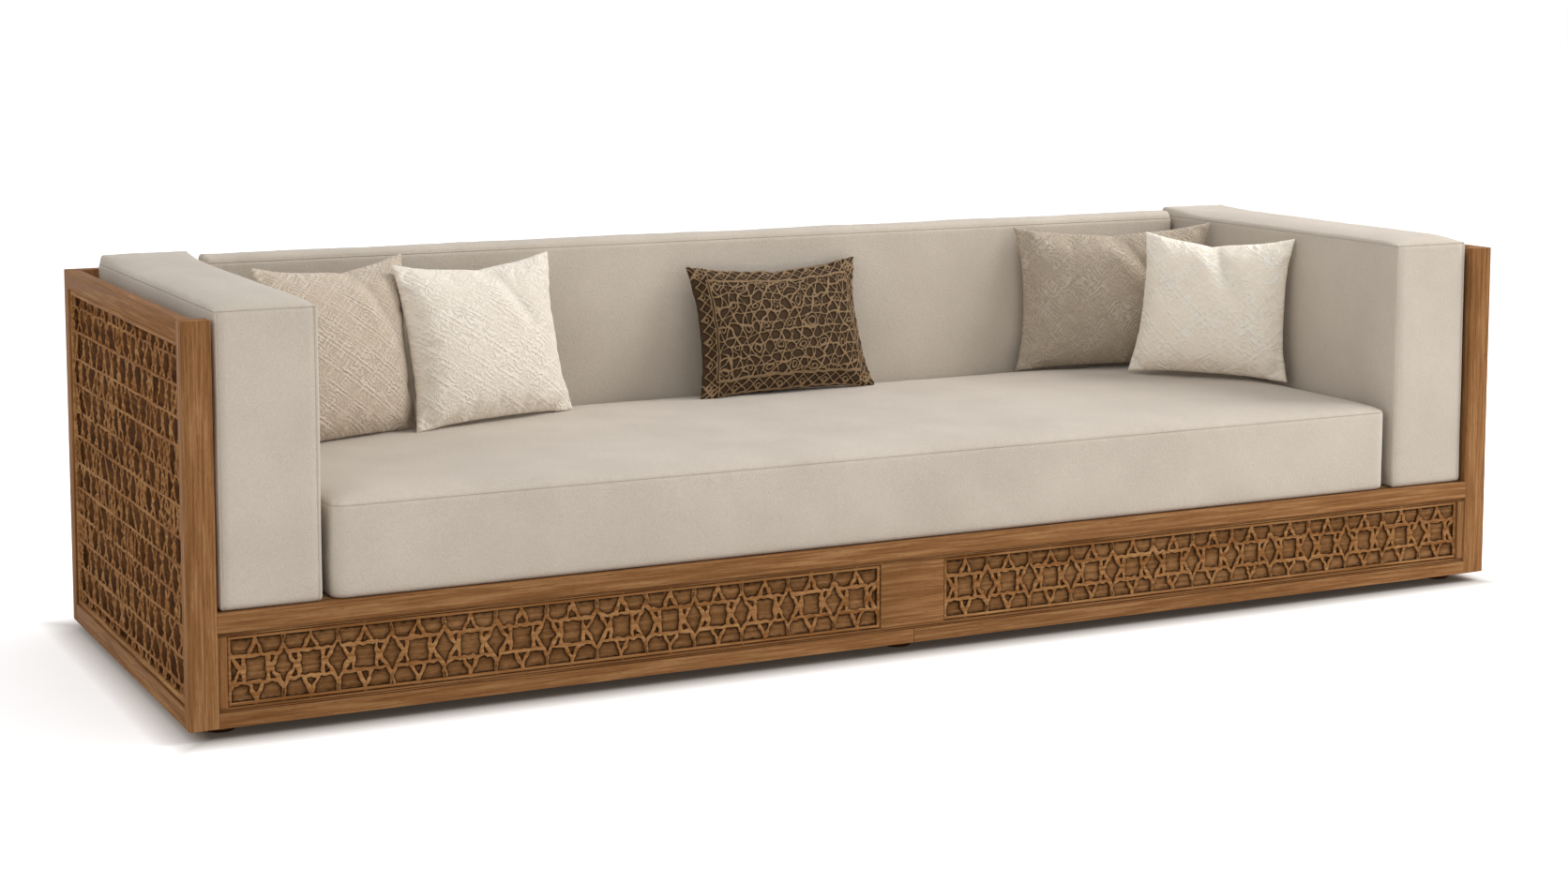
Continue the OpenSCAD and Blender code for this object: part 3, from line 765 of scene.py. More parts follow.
def stretches_of(path: np.ndarray) -> np.ndarray:
    """The stretch from each spot of a path to the next, shape (n, 2, 2)."""
    return np.stack([path[:-1], path[1:]], axis=1)


def rectangle(half_w: float, half_h: float) -> np.ndarray:
    """The four sides of a rectangle about the middle, shape (4, 2, 2)."""
    corner = np.array([[-half_w, -half_h], [half_w, -half_h], [half_w, half_h], [-half_w, half_h]])
    return np.stack([corner, np.roll(corner, -1, axis=0)], axis=1)


def sloping_lines(offsets: np.ndarray, turn: float, half: np.ndarray,
                  shortest: float = 0.0) -> np.ndarray:
    """Parallel lines across a box about the middle.

    Line = offset x side + s x way, where way is turned by that angle from level and side is square
    to it, and s runs over the stretch for which both |x| and |z| stay within half.

    Args:
        offsets: Distance of each line from the middle.
        turn: Angle of the lines, in degrees.
        half: Half the box's width and height.
        shortest: A line that is no longer than this goes.

    Returns:
        Lines of shape (n, 2, 2).
    """
    way = np.array([math.cos(math.radians(turn)), math.sin(math.radians(turn))])
    start = offsets[:, None] * np.array([-way[1], way[0]])
    reach = np.stack([(-half - start) / way, (half - start) / way])
    first, last = reach.min(axis=0).max(axis=1), reach.max(axis=0).min(axis=1)
    fits = last - first > shortest
    ends = np.stack([first, last], axis=1)[fits]
    return start[fits][:, None] + ends[..., None] * way


def distance_to(spots: np.ndarray, lines: np.ndarray) -> np.ndarray:
    """Distance from each spot to the nearest of several line stretches.

    Args:
        spots: Places in a plane, shape (n, 2).
        lines: Start and end of each stretch, shape (m, 2, 2).

    Returns:
        One number for each spot.
    """
    nearest = np.full(len(spots), np.inf)
    for start, end in lines:
        way = end - start
        share = np.clip(((spots - start) @ way) / (way @ way), 0, 1)
        nearest = np.minimum(nearest, np.linalg.norm(spots - start - share[:, None] * way, axis=1))
    return nearest


# ---------------------------------------------------------------- carving and screens


@dataclass
class Straps:
    """Rounded wooden straps along straight centre lines in an upright plane."""

    width: float
    depth: float
    sections: int = 9
    waver: float = 0.3 * MM
    uneven: float = 0.0
    wave: float = 22 * MM
    sideways: float = 1.0
    outline: int = 9

    def profile(self) -> np.ndarray:
        """The section's outline, from one foot over the crown to the other.

        Each side has a foot, a near upright wall, a shoulder and the start of a low crown.

        Returns:
            Places across and outward, as many as outline says.
        """
        half = self.width / 2
        edge = np.array([[half + 0.3 * MM, -self.depth], [half, -2.2 * MM],
                         [half - 0.5 * MM, -0.9 * MM], [half - 1.6 * MM, -0.2 * MM]])
        return np.concatenate([edge * [-1, 1], [[0, 0]], edge[::-1]])

    def sway(self, places: np.ndarray) -> np.ndarray:
        """How far the knife strays from its line at each place, along and up."""
        return self.waver * (drift(places, self.wave, 3) * [self.sideways, 1.0])

    def walls(self, quads: np.ndarray) -> np.ndarray:
        """Says of each quad of the straps whether it is part of a side wall."""
        column = np.arange(len(quads)) % self.outline
        return (column == 0) | (column == self.outline - 2)

    def wall_shade(self, count: int) -> np.ndarray:
        """Painted shade on so many points of straps: 1 at the foot of a wall, 0 on the crown."""
        return np.tile([1.0, 0.5, 0, 0, 0, 0, 0, 0.5, 1.0], count // self.outline)

    def bars(self, lines: np.ndarray) -> Surface:
        """Draws a strap along each line, with rounded ends that fill the corners where straps meet.

        Point = line start + way x s + side x across x w(s) + outward, where w(s) falls to nothing
        on a quarter circle past each end; slow ripples move each point and change the width by the
        share uneven, as a hand-held knife does.

        Args:
            lines: Start and end of each centre line, shape (n, 2, 2), in metres.

        Returns:
            Points as (along, up, outward) and quads.
        """
        bend = np.radians([90, 60, 30])
        past = self.width / 2 * np.sin(bend)
        way = lines[:, 1] - lines[:, 0]
        length = np.linalg.norm(way, axis=1, keepdims=True)
        way = way / length
        side = np.stack([-way[:, 1], way[:, 0]], axis=1)
        inner = np.linspace(0, 1, self.sections)[None] * length
        run = np.concatenate([-past[None] + 0 * length, inner, length + past[::-1][None]], axis=1)
        axis = lines[:, 0][:, None] + way[:, None] * run[:, :, None]
        cut = 1 + self.uneven * ripple(axis, 19 * MM, 6)
        narrow = np.concatenate([np.cos(bend), np.ones(self.sections), np.cos(bend[::-1])])
        section = self.profile()
        flat = (lines[:, 0][:, None, None] + way[:, None, None] * run[:, :, None, None]
                + side[:, None, None] * ((cut * narrow)[:, :, None] * section[:, 0])[..., None])
        out = np.broadcast_to(section[:, 1], flat.shape[:-1]).copy()
        key = flat.reshape(-1, 2)
        flat = flat + self.sway(key).reshape(flat.shape)
        uneven_top = 1 + ripple(key, 16 * MM, 5).reshape(out.shape)
        out -= self.waver * 0.8 * uneven_top * (out > -self.depth)
        points = np.concatenate([flat, out[..., None]], axis=-1)
        count, rows, columns = points.shape[:3]
        quads = grid_faces(rows, columns, closed=True)
        quads = quads[None] + (np.arange(count) * rows * columns)[:, None, None]
        return points.reshape(-1, 3), quads.reshape(-1, 4)


@dataclass
class CarvedPanel:
    """One carved board of the front: a row of strapwork stars with a beaded edge."""

    node: str
    board: int
    bead: float = 6 * MM
    carving: float = 8 * MM
    strap: float = 7.4 * MM
    gap: float = 1.6 * MM
    shade: float = 4.2 * MM
    ground_cells: tuple[int, int] = (460, 52)
    star_width: float = 103 * MM
    under_bead: float = 7.5 * MM
    play: float = 0.3 * MM
    gouge: float = 1.6 * MM
    gouge_width: float = 30 * MM
    ground_gap: float = 1.5 * MM
    star_share: float = 0.39
    apex_share: float = 0.43
    window_share: float = 0.45

    def star_lines(self, pitch: float, height: float) -> np.ndarray:
        """Centre lines of one star and of the joints to the next, about the star's middle.

        The star's points lie on a circle of star_share of the height, the tips of its upright
        joints at apex_share of it, and the sides of its window at window_share of the circle.

        Args:
            pitch: Distance from star to star.
            height: Height of the field.

        Returns:
            Lines of shape (n, 2, 2).
        """
        radius = height * self.star_share
        bar, cross = radius / 2, radius / SQRT3
        tip, window = radius * SQRT3 / 2, radius * self.window_share
        meet = (pitch / 2 - cross) * SQRT3
        top, apex = height / 2, height * self.apex_share
        quarter = np.array([
            [[0, bar], [tip, bar]], [[window, 0], [window, bar]],
            [[window, (cross - window) * SQRT3], [cross, 0]], [[cross, 0], [pitch / 2, meet]],
            [[pitch / 2, meet], [pitch / 2, top]], [[tip / 3, bar], [0, apex]],
            [[0, apex], [0, top]],
        ])
        ways = np.array([[1, 1], [-1, 1], [1, -1], [-1, -1]])
        lines = (quarter[None] * ways[:, None, None]).reshape(-1, 2, 2)
        return np.unique(np.round(lines, 6) + 0.0, axis=0)

    def star_row(self, width: float, height: float) -> np.ndarray:
        """Centre lines of the whole row of stars, which run in under the bead.

        Args:
            width: The board's width.
            height: Its height.

        Returns:
            Lines of shape (n, 2, 2), about the board's middle.
        """
        field_w, field_h = (side - 2 * self.bead + self.under_bead for side in (width, height))
        count = max(1, round(field_w / self.star_width))
        pitch = field_w / count
        steps = np.zeros((count, 1, 1, 2))
        steps[:, 0, 0, 0] = (np.arange(count) + 0.5) * pitch - field_w / 2
        return (self.star_lines(pitch, field_h) + steps).reshape(-1, 2, 2)

    def build(self) -> Piece:
        """Builds the board, its carved ground, its straps and its bead.

        The ground lies at carving + gouge x (|ripple| - 0.9) behind the face. Painted shade darkens
        it by exp(-d / shade), with d the distance from the nearest strap, a little below and beside
        it, as a shadow that the straps cast.

        Returns:
            The piece.
        """
        low, high = solid_box(self.node)
        width, height = high[0] - low[0], high[2] - low[2]
        middle = (low + high) / 2
        face = low[1]
        lines = self.star_row(width, height)
        rim = rectangle(*(side / 2 - self.bead / 2 - self.gap for side in (width, height)))
        knife = Straps(self.strap, self.carving, sections=11, waver=2.0 * MM, uneven=0.17)
        bead = Straps(self.bead, self.carving, sections=120, waver=0.12 * MM)
        relief, relief_quads = join_parts([knife.bars(lines), bead.bars(rim)])
        inside = np.array([width, height]) / 2 - self.play
        across, up = np.clip(relief[:, :2], -inside, inside).T
        placed = np.stack([middle[0] + across, face - relief[:, 2], middle[2] + up], axis=1)
        columns, rows = self.ground_cells
        along = np.linspace(low[0] + self.play, high[0] - self.play, columns)
        upward = np.linspace(low[2] + self.play, high[2] - self.play, rows)
        spot = np.stack(np.meshgrid(along, upward), axis=-1).reshape(-1, 2)
        hollow = np.abs(ripple(spot * [1.0, 1.7], self.gouge_width, 8 + self.board))
        cut = face + self.carving + self.gouge * (hollow - 0.9)
        ground = np.stack([spot[:, 0], cut, spot[:, 1]], axis=1)
        back = block((low[0], face + self.carving + self.ground_gap, low[2]), tuple(high))
        points, quads = join_parts([(placed, relief_quads), (ground, grid_faces(rows, columns)),
                                    back])
        piece = make_piece(self.node + "_carved", points, quads,
                           CARVED.material(Grain.ALONG_X, self.board))
        finish = np.ones(len(quads))
        # The straps' side walls take the darker ground finish as painted shade.
        finish[: len(relief_quads)] = knife.walls(relief_quads)
        second_finish(piece, SHADED_GROUND.material(Grain.ALONG_X, self.board + 10), finish)
        flat = spot - middle[[0, 2]]
        # The painted shade is measured from a little below and beside each strap, as a shadow cast
        # by light from above.
        below = flat - knife.sway(flat) + [-0.8 * MM, 1.7 * MM]
        near = np.minimum(distance_to(below, lines), distance_to(below, rim)) - self.strap / 2
        painted_shade = np.zeros(len(points))
        painted_shade[: len(placed)] = knife.wall_shade(len(placed))
        painted_shade[len(placed) : len(placed) + len(spot)] = np.exp(-np.maximum(near, 0) / self.shade)
        write_attribute(piece.data, "painted_shade", painted_shade)
        hand_over(piece, self.node, CASE)
        return piece


@dataclass
class ReededMoulding:
    """The two sunk strips of one half of the apron, each with two half-round reeds along it."""

    node: str
    board: int
    height: float = 8 * MM
    radius: float = 1.45 * MM
    groove: float = 3.2 * MM
    sunk: float = 0.1 * MM

    def build(self) -> Piece:
        """Builds both strips: the section with its two half circles, carried from end to end.

        Returns:
            The piece.
        """
        low, high = solid_box(self.node)
        turn = np.linspace(-math.pi / 2, math.pi / 2, 7)
        reed = np.stack([self.groove - (self.groove - self.sunk) * np.cos(turn),
                         self.radius * np.sin(turn)], axis=1)
        quarter, depth = self.height / 4, high[1] - low[1]
        section = np.concatenate([[[depth, 0]], [[self.groove, 0]], reed + [0, quarter],
                                  reed + [0, 3 * quarter], [[self.groove, self.height]],
                                  [[depth, self.height]]])
        count = len(section)
        points, faces = [], []
        for strip, level in enumerate((low[2], high[2] - self.height)):
            ring = section + [low[1], level]
            points += [np.insert(ring, 0, x, axis=1) for x in (low[0], high[0])]
            start = 2 * count * strip
            faces += grid_faces(2, count, start, True)[:, ::-1].tolist()
            faces += [list(range(start, start + count)),
                      list(range(start + 2 * count - 1, start + count - 1, -1))]
        piece = make_piece(self.node + "_reeded", np.concatenate(points), faces,
                           HARDWOOD.material(Grain.ALONG_X, self.board), False)
        hand_over(piece, self.node, CASE)
        return piece


@dataclass
class PiercedScreen:
    """One pierced side screen: three families of paired laths inside a bead, over a dark board."""

    node: str
    board: int
    outward: int
    pitch: float = 128 * MM
    lath: float = 5.0 * MM
    lath_depth: float = 4.2 * MM
    pair: float = 29 * MM
    bead: float = 11 * MM
    proud: float = 4 * MM
    stray: float = 7 * MM
    left_out: float = 0.07
    uprights: int = 7
    shortest: float = 12 * MM
    clear: float = 8 * MM
    play: float = 0.2 * MM
    rows_each_way: int = 12
    stars_each_way: int = 6

    def laths(self, half_w: float, half_h: float) -> np.ndarray:
        """Centre lines of all laths, cut off at the bead.

        The two sloping families are sets of parallel lines at -pair and +pair from rows that are
        pitch x sqrt(3) / 2 apart, turned by 60 and 120 degrees. The level family is broken into
        the bars of the stars, tip to tip; three lines in four run through as rails.

        As in hand-cut work, each sloping lath is bent a little where it meets a level, a few of
        its stretches are left out and some short uprights are set between two levels.

        Args:
            half_w: Half the opening's width.
            half_h: Half its height.

        Returns:
            Lines of shape (n, 2, 2).
        """
        chance = np.random.default_rng(self.board)
        row = self.pitch * SQRT3 / 2
        number = np.repeat(np.arange(-self.rows_each_way, self.rows_each_way + 1), 2)
        rows = number * row + np.tile([-self.pair, self.pair], len(number) // 2)
        kept = []
        for turn in (60.0, 120.0):
            for low, high in sloping_lines(rows, turn, np.array([half_w, half_h]), self.shortest):
                meets = rows[(rows > low[1] + self.clear) & (rows < high[1] - self.clear)]
                share = np.concatenate([[0], (meets - low[1]) / (high[1] - low[1]), [1]])
                spots = low + share[:, None] * (high - low)
                spots[1:-1, 0] += self.stray * chance.uniform(-1, 1, len(meets))
                spots[:, 0] = np.clip(spots[:, 0], -half_w, half_w)
                stretches = stretches_of(spots)
                kept.append(stretches[chance.random(len(stretches)) > self.left_out])
        levels = rows[np.abs(rows) < half_h]
        for bottom, top in zip(levels[:-1], levels[1:]):
            places = chance.uniform(-half_w, half_w, self.uprights)
            ends = [np.stack([places, np.full_like(places, level)], axis=1)
                    for level in (bottom, top)]
            kept.append(np.stack(ends, axis=1))
        tip = self.pair * SQRT3
        middles = (np.arange(-self.stars_each_way, self.stars_each_way + 1) + 0.5) * self.pitch
        bars = np.clip(np.stack([middles - tip, middles + tip], axis=1), -half_w, half_w)
        bars = bars[bars[:, 1] - bars[:, 0] > self.shortest]
        for index, level in zip(number, rows):
            if abs(level) > half_h:
                continue
            rail = index % 2 == 0 or level > index * row
            ends = np.array([[-half_w, half_w]]) if rail else bars
            kept.append(np.stack([ends, np.full_like(ends, level)], axis=-1))
        return np.concatenate(kept)

    def build(self) -> Piece:
        """Builds the laths and the bead in the place of the screen's solid.

        Returns:
            The piece.
        """
        low, high = solid_box(self.node)
        middle = (low + high) / 2
        half = (high[1:] - low[1:]) / 2
        rim_w, rim_h = half - self.bead / 2
        depth = high[0] - low[0] + self.proud - self.play
        laths = Straps(self.lath, self.lath_depth, sections=16, waver=2.0 * MM, uneven=0.15,
                       wave=34 * MM, sideways=1.8)
        bead = Straps(self.bead, depth, sections=90, waver=0.1 * MM)
        relief, quads = join_parts([laths.bars(self.laths(rim_w, rim_h)),
                                    bead.bars(rectangle(rim_w, rim_h))])
        face = (high[0] if self.outward > 0 else low[0]) + self.outward * self.proud
        inside = half - self.play
        across, up = np.clip(relief[:, :2], -inside, inside).T
        out = face + self.outward * relief[:, 2]
        points = np.stack([out, middle[1] + across, middle[2] + up], axis=1)
        piece = make_piece(self.node + "_laths", points, quads,
                           CARVED.material(Grain.ALONG_Y, self.board))
        hand_over(piece, self.node, CASE)
        return piece


# ---------------------------------------------------------------- the case


@dataclass
class Case:
    """The hardwood case: boards of the CAD model with eased edges, and the hidden carcass."""

    nodes: dict[str, Piece]
    easing: float = 1.3 * MM
    seen: dict[str, Grain] = field(default_factory=lambda: {
        **{f"{side}_{place}_post": Grain.ALONG_Z for side in SIDES for place in ("front", "rear")},
        **{f"{side}_{place}_rail": Grain.ALONG_Y for side in SIDES for place in ("top", "bottom")},
        **{name: Grain.ALONG_X for name in (
            "front_top_rail", "front_bottom_rail_left", "front_bottom_rail_right",
            "front_centre_block", "back_top_rail", "back_bottom_rail")},
        **{name: Grain.ALONG_Z for name in (
            "front_end_stile_left", "front_end_stile_right", "back_centre_stile",
            "back_panel_left", "back_panel_right")},
    })
    dark: tuple[str, ...] = ("left_screen_backing", "right_screen_backing")
    boards: tuple[str, ...] = ("left_arm_board", "right_arm_board", "back_board", "deck_left",
                               "deck_middle", "deck_right")
    bearers: tuple[str, ...] = ("front_beam", "rear_beam", "cross_bearers", "foot_blocks",
                                "front_panel_cleats")
    turned: tuple[str, ...] = ("front_feet", "rear_feet")
    studs: tuple[str, ...] = ("foot_studs",)

    def eased(self, name: str, grain: Grain, board: int) -> Piece:
        """Copies one board of the model and eases its edges.

        Args:
            name: The CAD node.
            grain: The direction of its grain.
            board: A number for its figure.

        Returns:
            The piece.
        """
        piece = bpy.data.objects.new(name + "_eased", self.nodes[name].data.copy())
        bpy.context.scene.collection.objects.link(piece)
        piece.data.materials.clear()
        piece.data.materials.append(HARDWOOD.material(grain, board))
        weld(piece, flatten=True)
        piece.data.polygons.foreach_set("use_smooth", np.full(len(piece.data.polygons), True))
        rounding = piece.modifiers.new("easing", "BEVEL")
        rounding.width = self.easing
        rounding.segments = 2
        rounding.limit_method = "ANGLE"
        rounding.angle_limit = math.radians(30)
        rounding.harden_normals = True
        hand_over(piece, name, CASE)
        return piece

    def paint(self, names: tuple[str, ...], material: Material) -> None:
        """Gives CAD nodes that stay as they are a finish.

        Args:
            names: The CAD nodes.
            material: The finish.
        """
        for name in names:
            for slot in self.nodes[name].material_slots:
                slot.material = material

    def build(self) -> list[Piece]:
        """Dresses every board of the case.

        Returns:
            The eased boards.
        """
        eased = [self.eased(name, grain, board)
                 for board, (name, grain) in enumerate(self.seen.items())]
        self.paint(self.dark, STAINED.material(Grain.ALONG_Y, 2))
        self.paint(self.boards, PLYWOOD.material(Grain.ALONG_X, 1))
        self.paint(self.bearers, HARDWOOD.material(Grain.ALONG_X, 40))
        self.paint(self.turned, FOOT.material(Grain.ALONG_X, 3))
        self.paint(self.studs, Steel().material())
        return eased


# ---------------------------------------------------------------- boxed cushions


@dataclass
class BoxedCushion:
    """A foam pad in a sewn cover: side walls up to a seam, and a crowned panel on top."""

    node: str
    body: str
    seam_drop: float
    corner: float
    rolled: float
    fullness: float
    fill: float
    upright_seams: tuple[tuple[int, int], ...] = ()
    step: float = 12 * MM
    base_radius: float = 10 * MM
    crown_reach: tuple[float, float] = (0.075, 0.075)
    squeeze: float = 0.0
    crown_power: float = 0.5
    gathers: float = 0.8 * MM
    seed: int = 1
    tuck_width: float = 4 * MM
    gather_wave: float = 24 * MM
    groove: float = 2.4 * MM
    groove_width: float = 3.5 * MM
    pressed_length: float = 0.2
    roll: float = 1.15 * MM
    upright_roll: float = 1.1 * MM
    seam_allowance: float = 1.6 * MM
    seam_sunk: float = 0.6 * MM
    soft_wave: float = 0.23
    slack: tuple[float, float] = (1.2 * MM, 0.5 * MM)
    slack_wave: tuple[float, float] = (0.31, 0.09)

    def __post_init__(self) -> None:
        """Reads the solid's box."""
        self.low, self.high = solid_box(self.node)
        self.middle = (self.low + self.high) / 2
        self.half = (self.high - self.low) / 2
        self.core_half = self.half[:2] - self.corner
        self.seam_z = self.high[2] - self.seam_drop

    def stations(self, low: float, high: float) -> np.ndarray:
        """Places along one edge of the box, closer together near both ends.

        Args:
            low: Where the edge starts.
            high: Where it ends.

        Returns:
            The places, in metres.
        """
        near = np.array([0, 1.5, 3, 5, 8, 12, 17, 24]) * MM
        inner = np.arange(1, math.ceil((high - low - 2 * near[-1]) / self.step)) * self.step
        inner = low + near[-1] + inner * (high - low - 2 * near[-1]) / (inner[-1] + self.step)
        return np.unique(np.round(np.concatenate([low + near, inner, high - near]), 7))

    def push(self, box: np.ndarray, pucker: np.ndarray) -> np.ndarray:
        """How far the wall stands out from the solid's wall; nowhere more than its puckers.

        Push = bulge - base - tuck - fullness: the wall swells by a sine between base and seam,
        is round at the base and tucks in along the seams, with small gathers below the top one.

        Args:
            box: Points about the box's middle in plan, with z as it is.
            pucker: The ripple of the gathers at each point.

        Returns:
            One length for each point.
        """
        z = box[:, 2]
        below_seam = self.seam_z - z
        up = np.clip((z - self.low[2]) / (self.seam_z - self.low[2]), 0, 1)
        lifted = np.clip(z - self.low[2], 0, self.base_radius)
        base = self.base_radius - np.sqrt(
            np.maximum(self.base_radius**2 - (self.base_radius - lifted) ** 2, 0))
        tuck = self.rolled * np.exp(-((below_seam / self.tuck_width) ** 2))
        swell = self.fullness * np.sin(math.pi * up) ** 0.8
        along = 1 - np.abs(box[:, :2] / self.half[:2]).min(axis=1) ** 4
        soft = self.fullness * 0.5 * ripple(box, self.soft_wave, self.seed) * np.sin(math.pi * up)
        gather = self.gathers * pucker * np.exp(-below_seam / self.gather_wave)
        push = swell * along + soft + gather - base - tuck - self.fullness
        if self.upright_seams:
            from_seam = np.abs(np.abs(box[:, 0]) - self.core_half[0])
            in_front = box[:, 1] < -self.core_half[1]
            push -= self.groove * np.exp(-((from_seam / self.groove_width) ** 2)) * in_front
        return push

    def rise(self, box: np.ndarray, pucker: np.ndarray) -> np.ndarray:
        """How far the top panel stands above the seam.

        Rise = crown x (g(x) g(y))^power, with g(t) = 1 - (1 - t)^2 over crown_reach from each
        edge, plus gathers beside the seam. Over pressed_length at the rear, where pads press
        together, the reach falls by the share squeeze, which keeps the top up to its edge.

        Args:
            box: Points about the box's middle in plan, with z as it is.
            pucker: The ripple of the gathers at each point.

        Returns:
            One length for each point, 0 below the top panel.
        """
        plan, z = box[:, :2], box[:, 2]
        inward = self.half[:2] - np.abs(plan)
        pressed = np.clip((box[:, 1:2] - self.half[1]) / self.pressed_length + 1, 0, 1)
        edge = np.clip(inward / (np.array(self.crown_reach) * (1 - self.squeeze * pressed)), 0, 1)
        arch = (1 - (1 - edge) ** 2).prod(axis=1) ** self.crown_power
        slow, quick = (ripple(plan, wave, self.seed + 2 + number)
                       for number, wave in enumerate(self.slack_wave))
        slack = self.slack[0] * slow + self.slack[1] * quick
        beside = inward.min(axis=1)
        gather = np.exp(-beside / self.gather_wave) * (1 - np.exp(-beside / (3 * MM)))
        crown = self.seam_drop - self.seam_allowance + slack
        rise = crown * arch + self.gathers * pucker * gather
        return rise * (z > self.seam_z - 1e-6)

    def shaped(self, box: np.ndarray) -> np.ndarray:
        """Carries points of the plain box to the pad's skin.

        In plan each point keeps its place c in the core and the offset d to it becomes
        d x max(|dx|,|dy|) / |d| x (1 + push / corner), which rounds the corners.

        Args:
            box: Points about the box's middle in plan, with z as it is.

        Returns:
            Points in the frame of the model.
        """
        pucker = ripple(box * [1, 1, 0.15], self.gather_wave, self.seed + 1)
        core = np.clip(box[:, :2], -self.core_half, self.core_half)
        off = box[:, :2] - core
        length, largest = np.linalg.norm(off, axis=1), np.abs(off).max(axis=1)
        off = off * np.where(length > 0, largest / np.maximum(length, TINY), 1)[:, None]
        plan = core + off * (1 + self.push(box, pucker) / self.corner)[:, None]
        return np.column_stack([plan + self.middle[:2], box[:, 2] + self.rise(box, pucker)])

    def skin(self) -> Surface:
        """The six faces of the box as grids, before they are shaped.

        Returns:
            Points and quads.
        """
        x = self.stations(-self.half[0], self.half[0])
        y = self.stations(-self.half[1], self.half[1])
        z = self.stations(self.low[2], self.seam_z)
        parts = []
        for first, second, axis, level, flip in (
            (x, z, 1, -self.half[1], False), (x, z, 1, self.half[1], True),
            (y, z, 0, -self.half[0], True), (y, z, 0, self.half[0], False),
            (x, y, 2, self.seam_z, False), (x, y, 2, self.low[2], True),
        ):
            one, two = np.meshgrid(first, second)
            sheet = np.insert(np.stack([one, two], axis=-1).reshape(-1, 2), axis, level, axis=1)
            quads = grid_faces(len(second), len(first))
            parts.append((sheet, quads[:, ::-1] if flip else quads))
        return join_parts(parts)

    def seams(self) -> list[Surface]:
        """Sewn rolls round the top panel and down the chosen corners.

        Returns:
            Points and quads of each roll.
        """
        half_x, half_y = self.half[:2]
        x, y = self.stations(-half_x, half_x)[:-1], self.stations(-half_y, half_y)[:-1]
        front = np.stack([x, np.full_like(x, -half_y)], axis=1)
        right = np.stack([np.full_like(y, half_x), y], axis=1)
        loop = np.concatenate([front, right, -front, -right])
        level = np.full(len(loop), self.seam_z - self.seam_sunk)
        loop = self.shaped(np.column_stack([loop, level]))
        rolls = [cord_along(loop, self.roll, True)]
        z = self.stations(self.low[2] + 3 * MM, self.seam_z - 1 * MM)
        for side_x, side_y in self.upright_seams:
            place = np.array([side_x * self.core_half[0], side_y * half_y])
            upright = np.column_stack([np.tile(place, (len(z), 1)), z])
            rolls.append(cord_along(self.shaped(upright), self.upright_roll))
        return rolls

    def build(self, cloth: Material, thread: Material) -> Piece:
        """Builds the pad with its seams in the place of its solid.

        Args:
            cloth: The cover.
            thread: The seams' finish, a darker copy of the cloth: painted shade along the seams.

        Returns:
            The piece.
        """
        box, box_quads = self.skin()
        points, quads = join_parts([(self.shaped(box), box_quads)] + self.seams())
        piece = make_piece(self.node + "_cover", points, quads, cloth)
        second_finish(piece, thread, np.arange(len(quads)) >= len(box_quads))
        weld(piece, 0.05 * MM)
        hand_over(piece, self.node, self.body)
        return piece


# ---------------------------------------------------------------- throw pillows


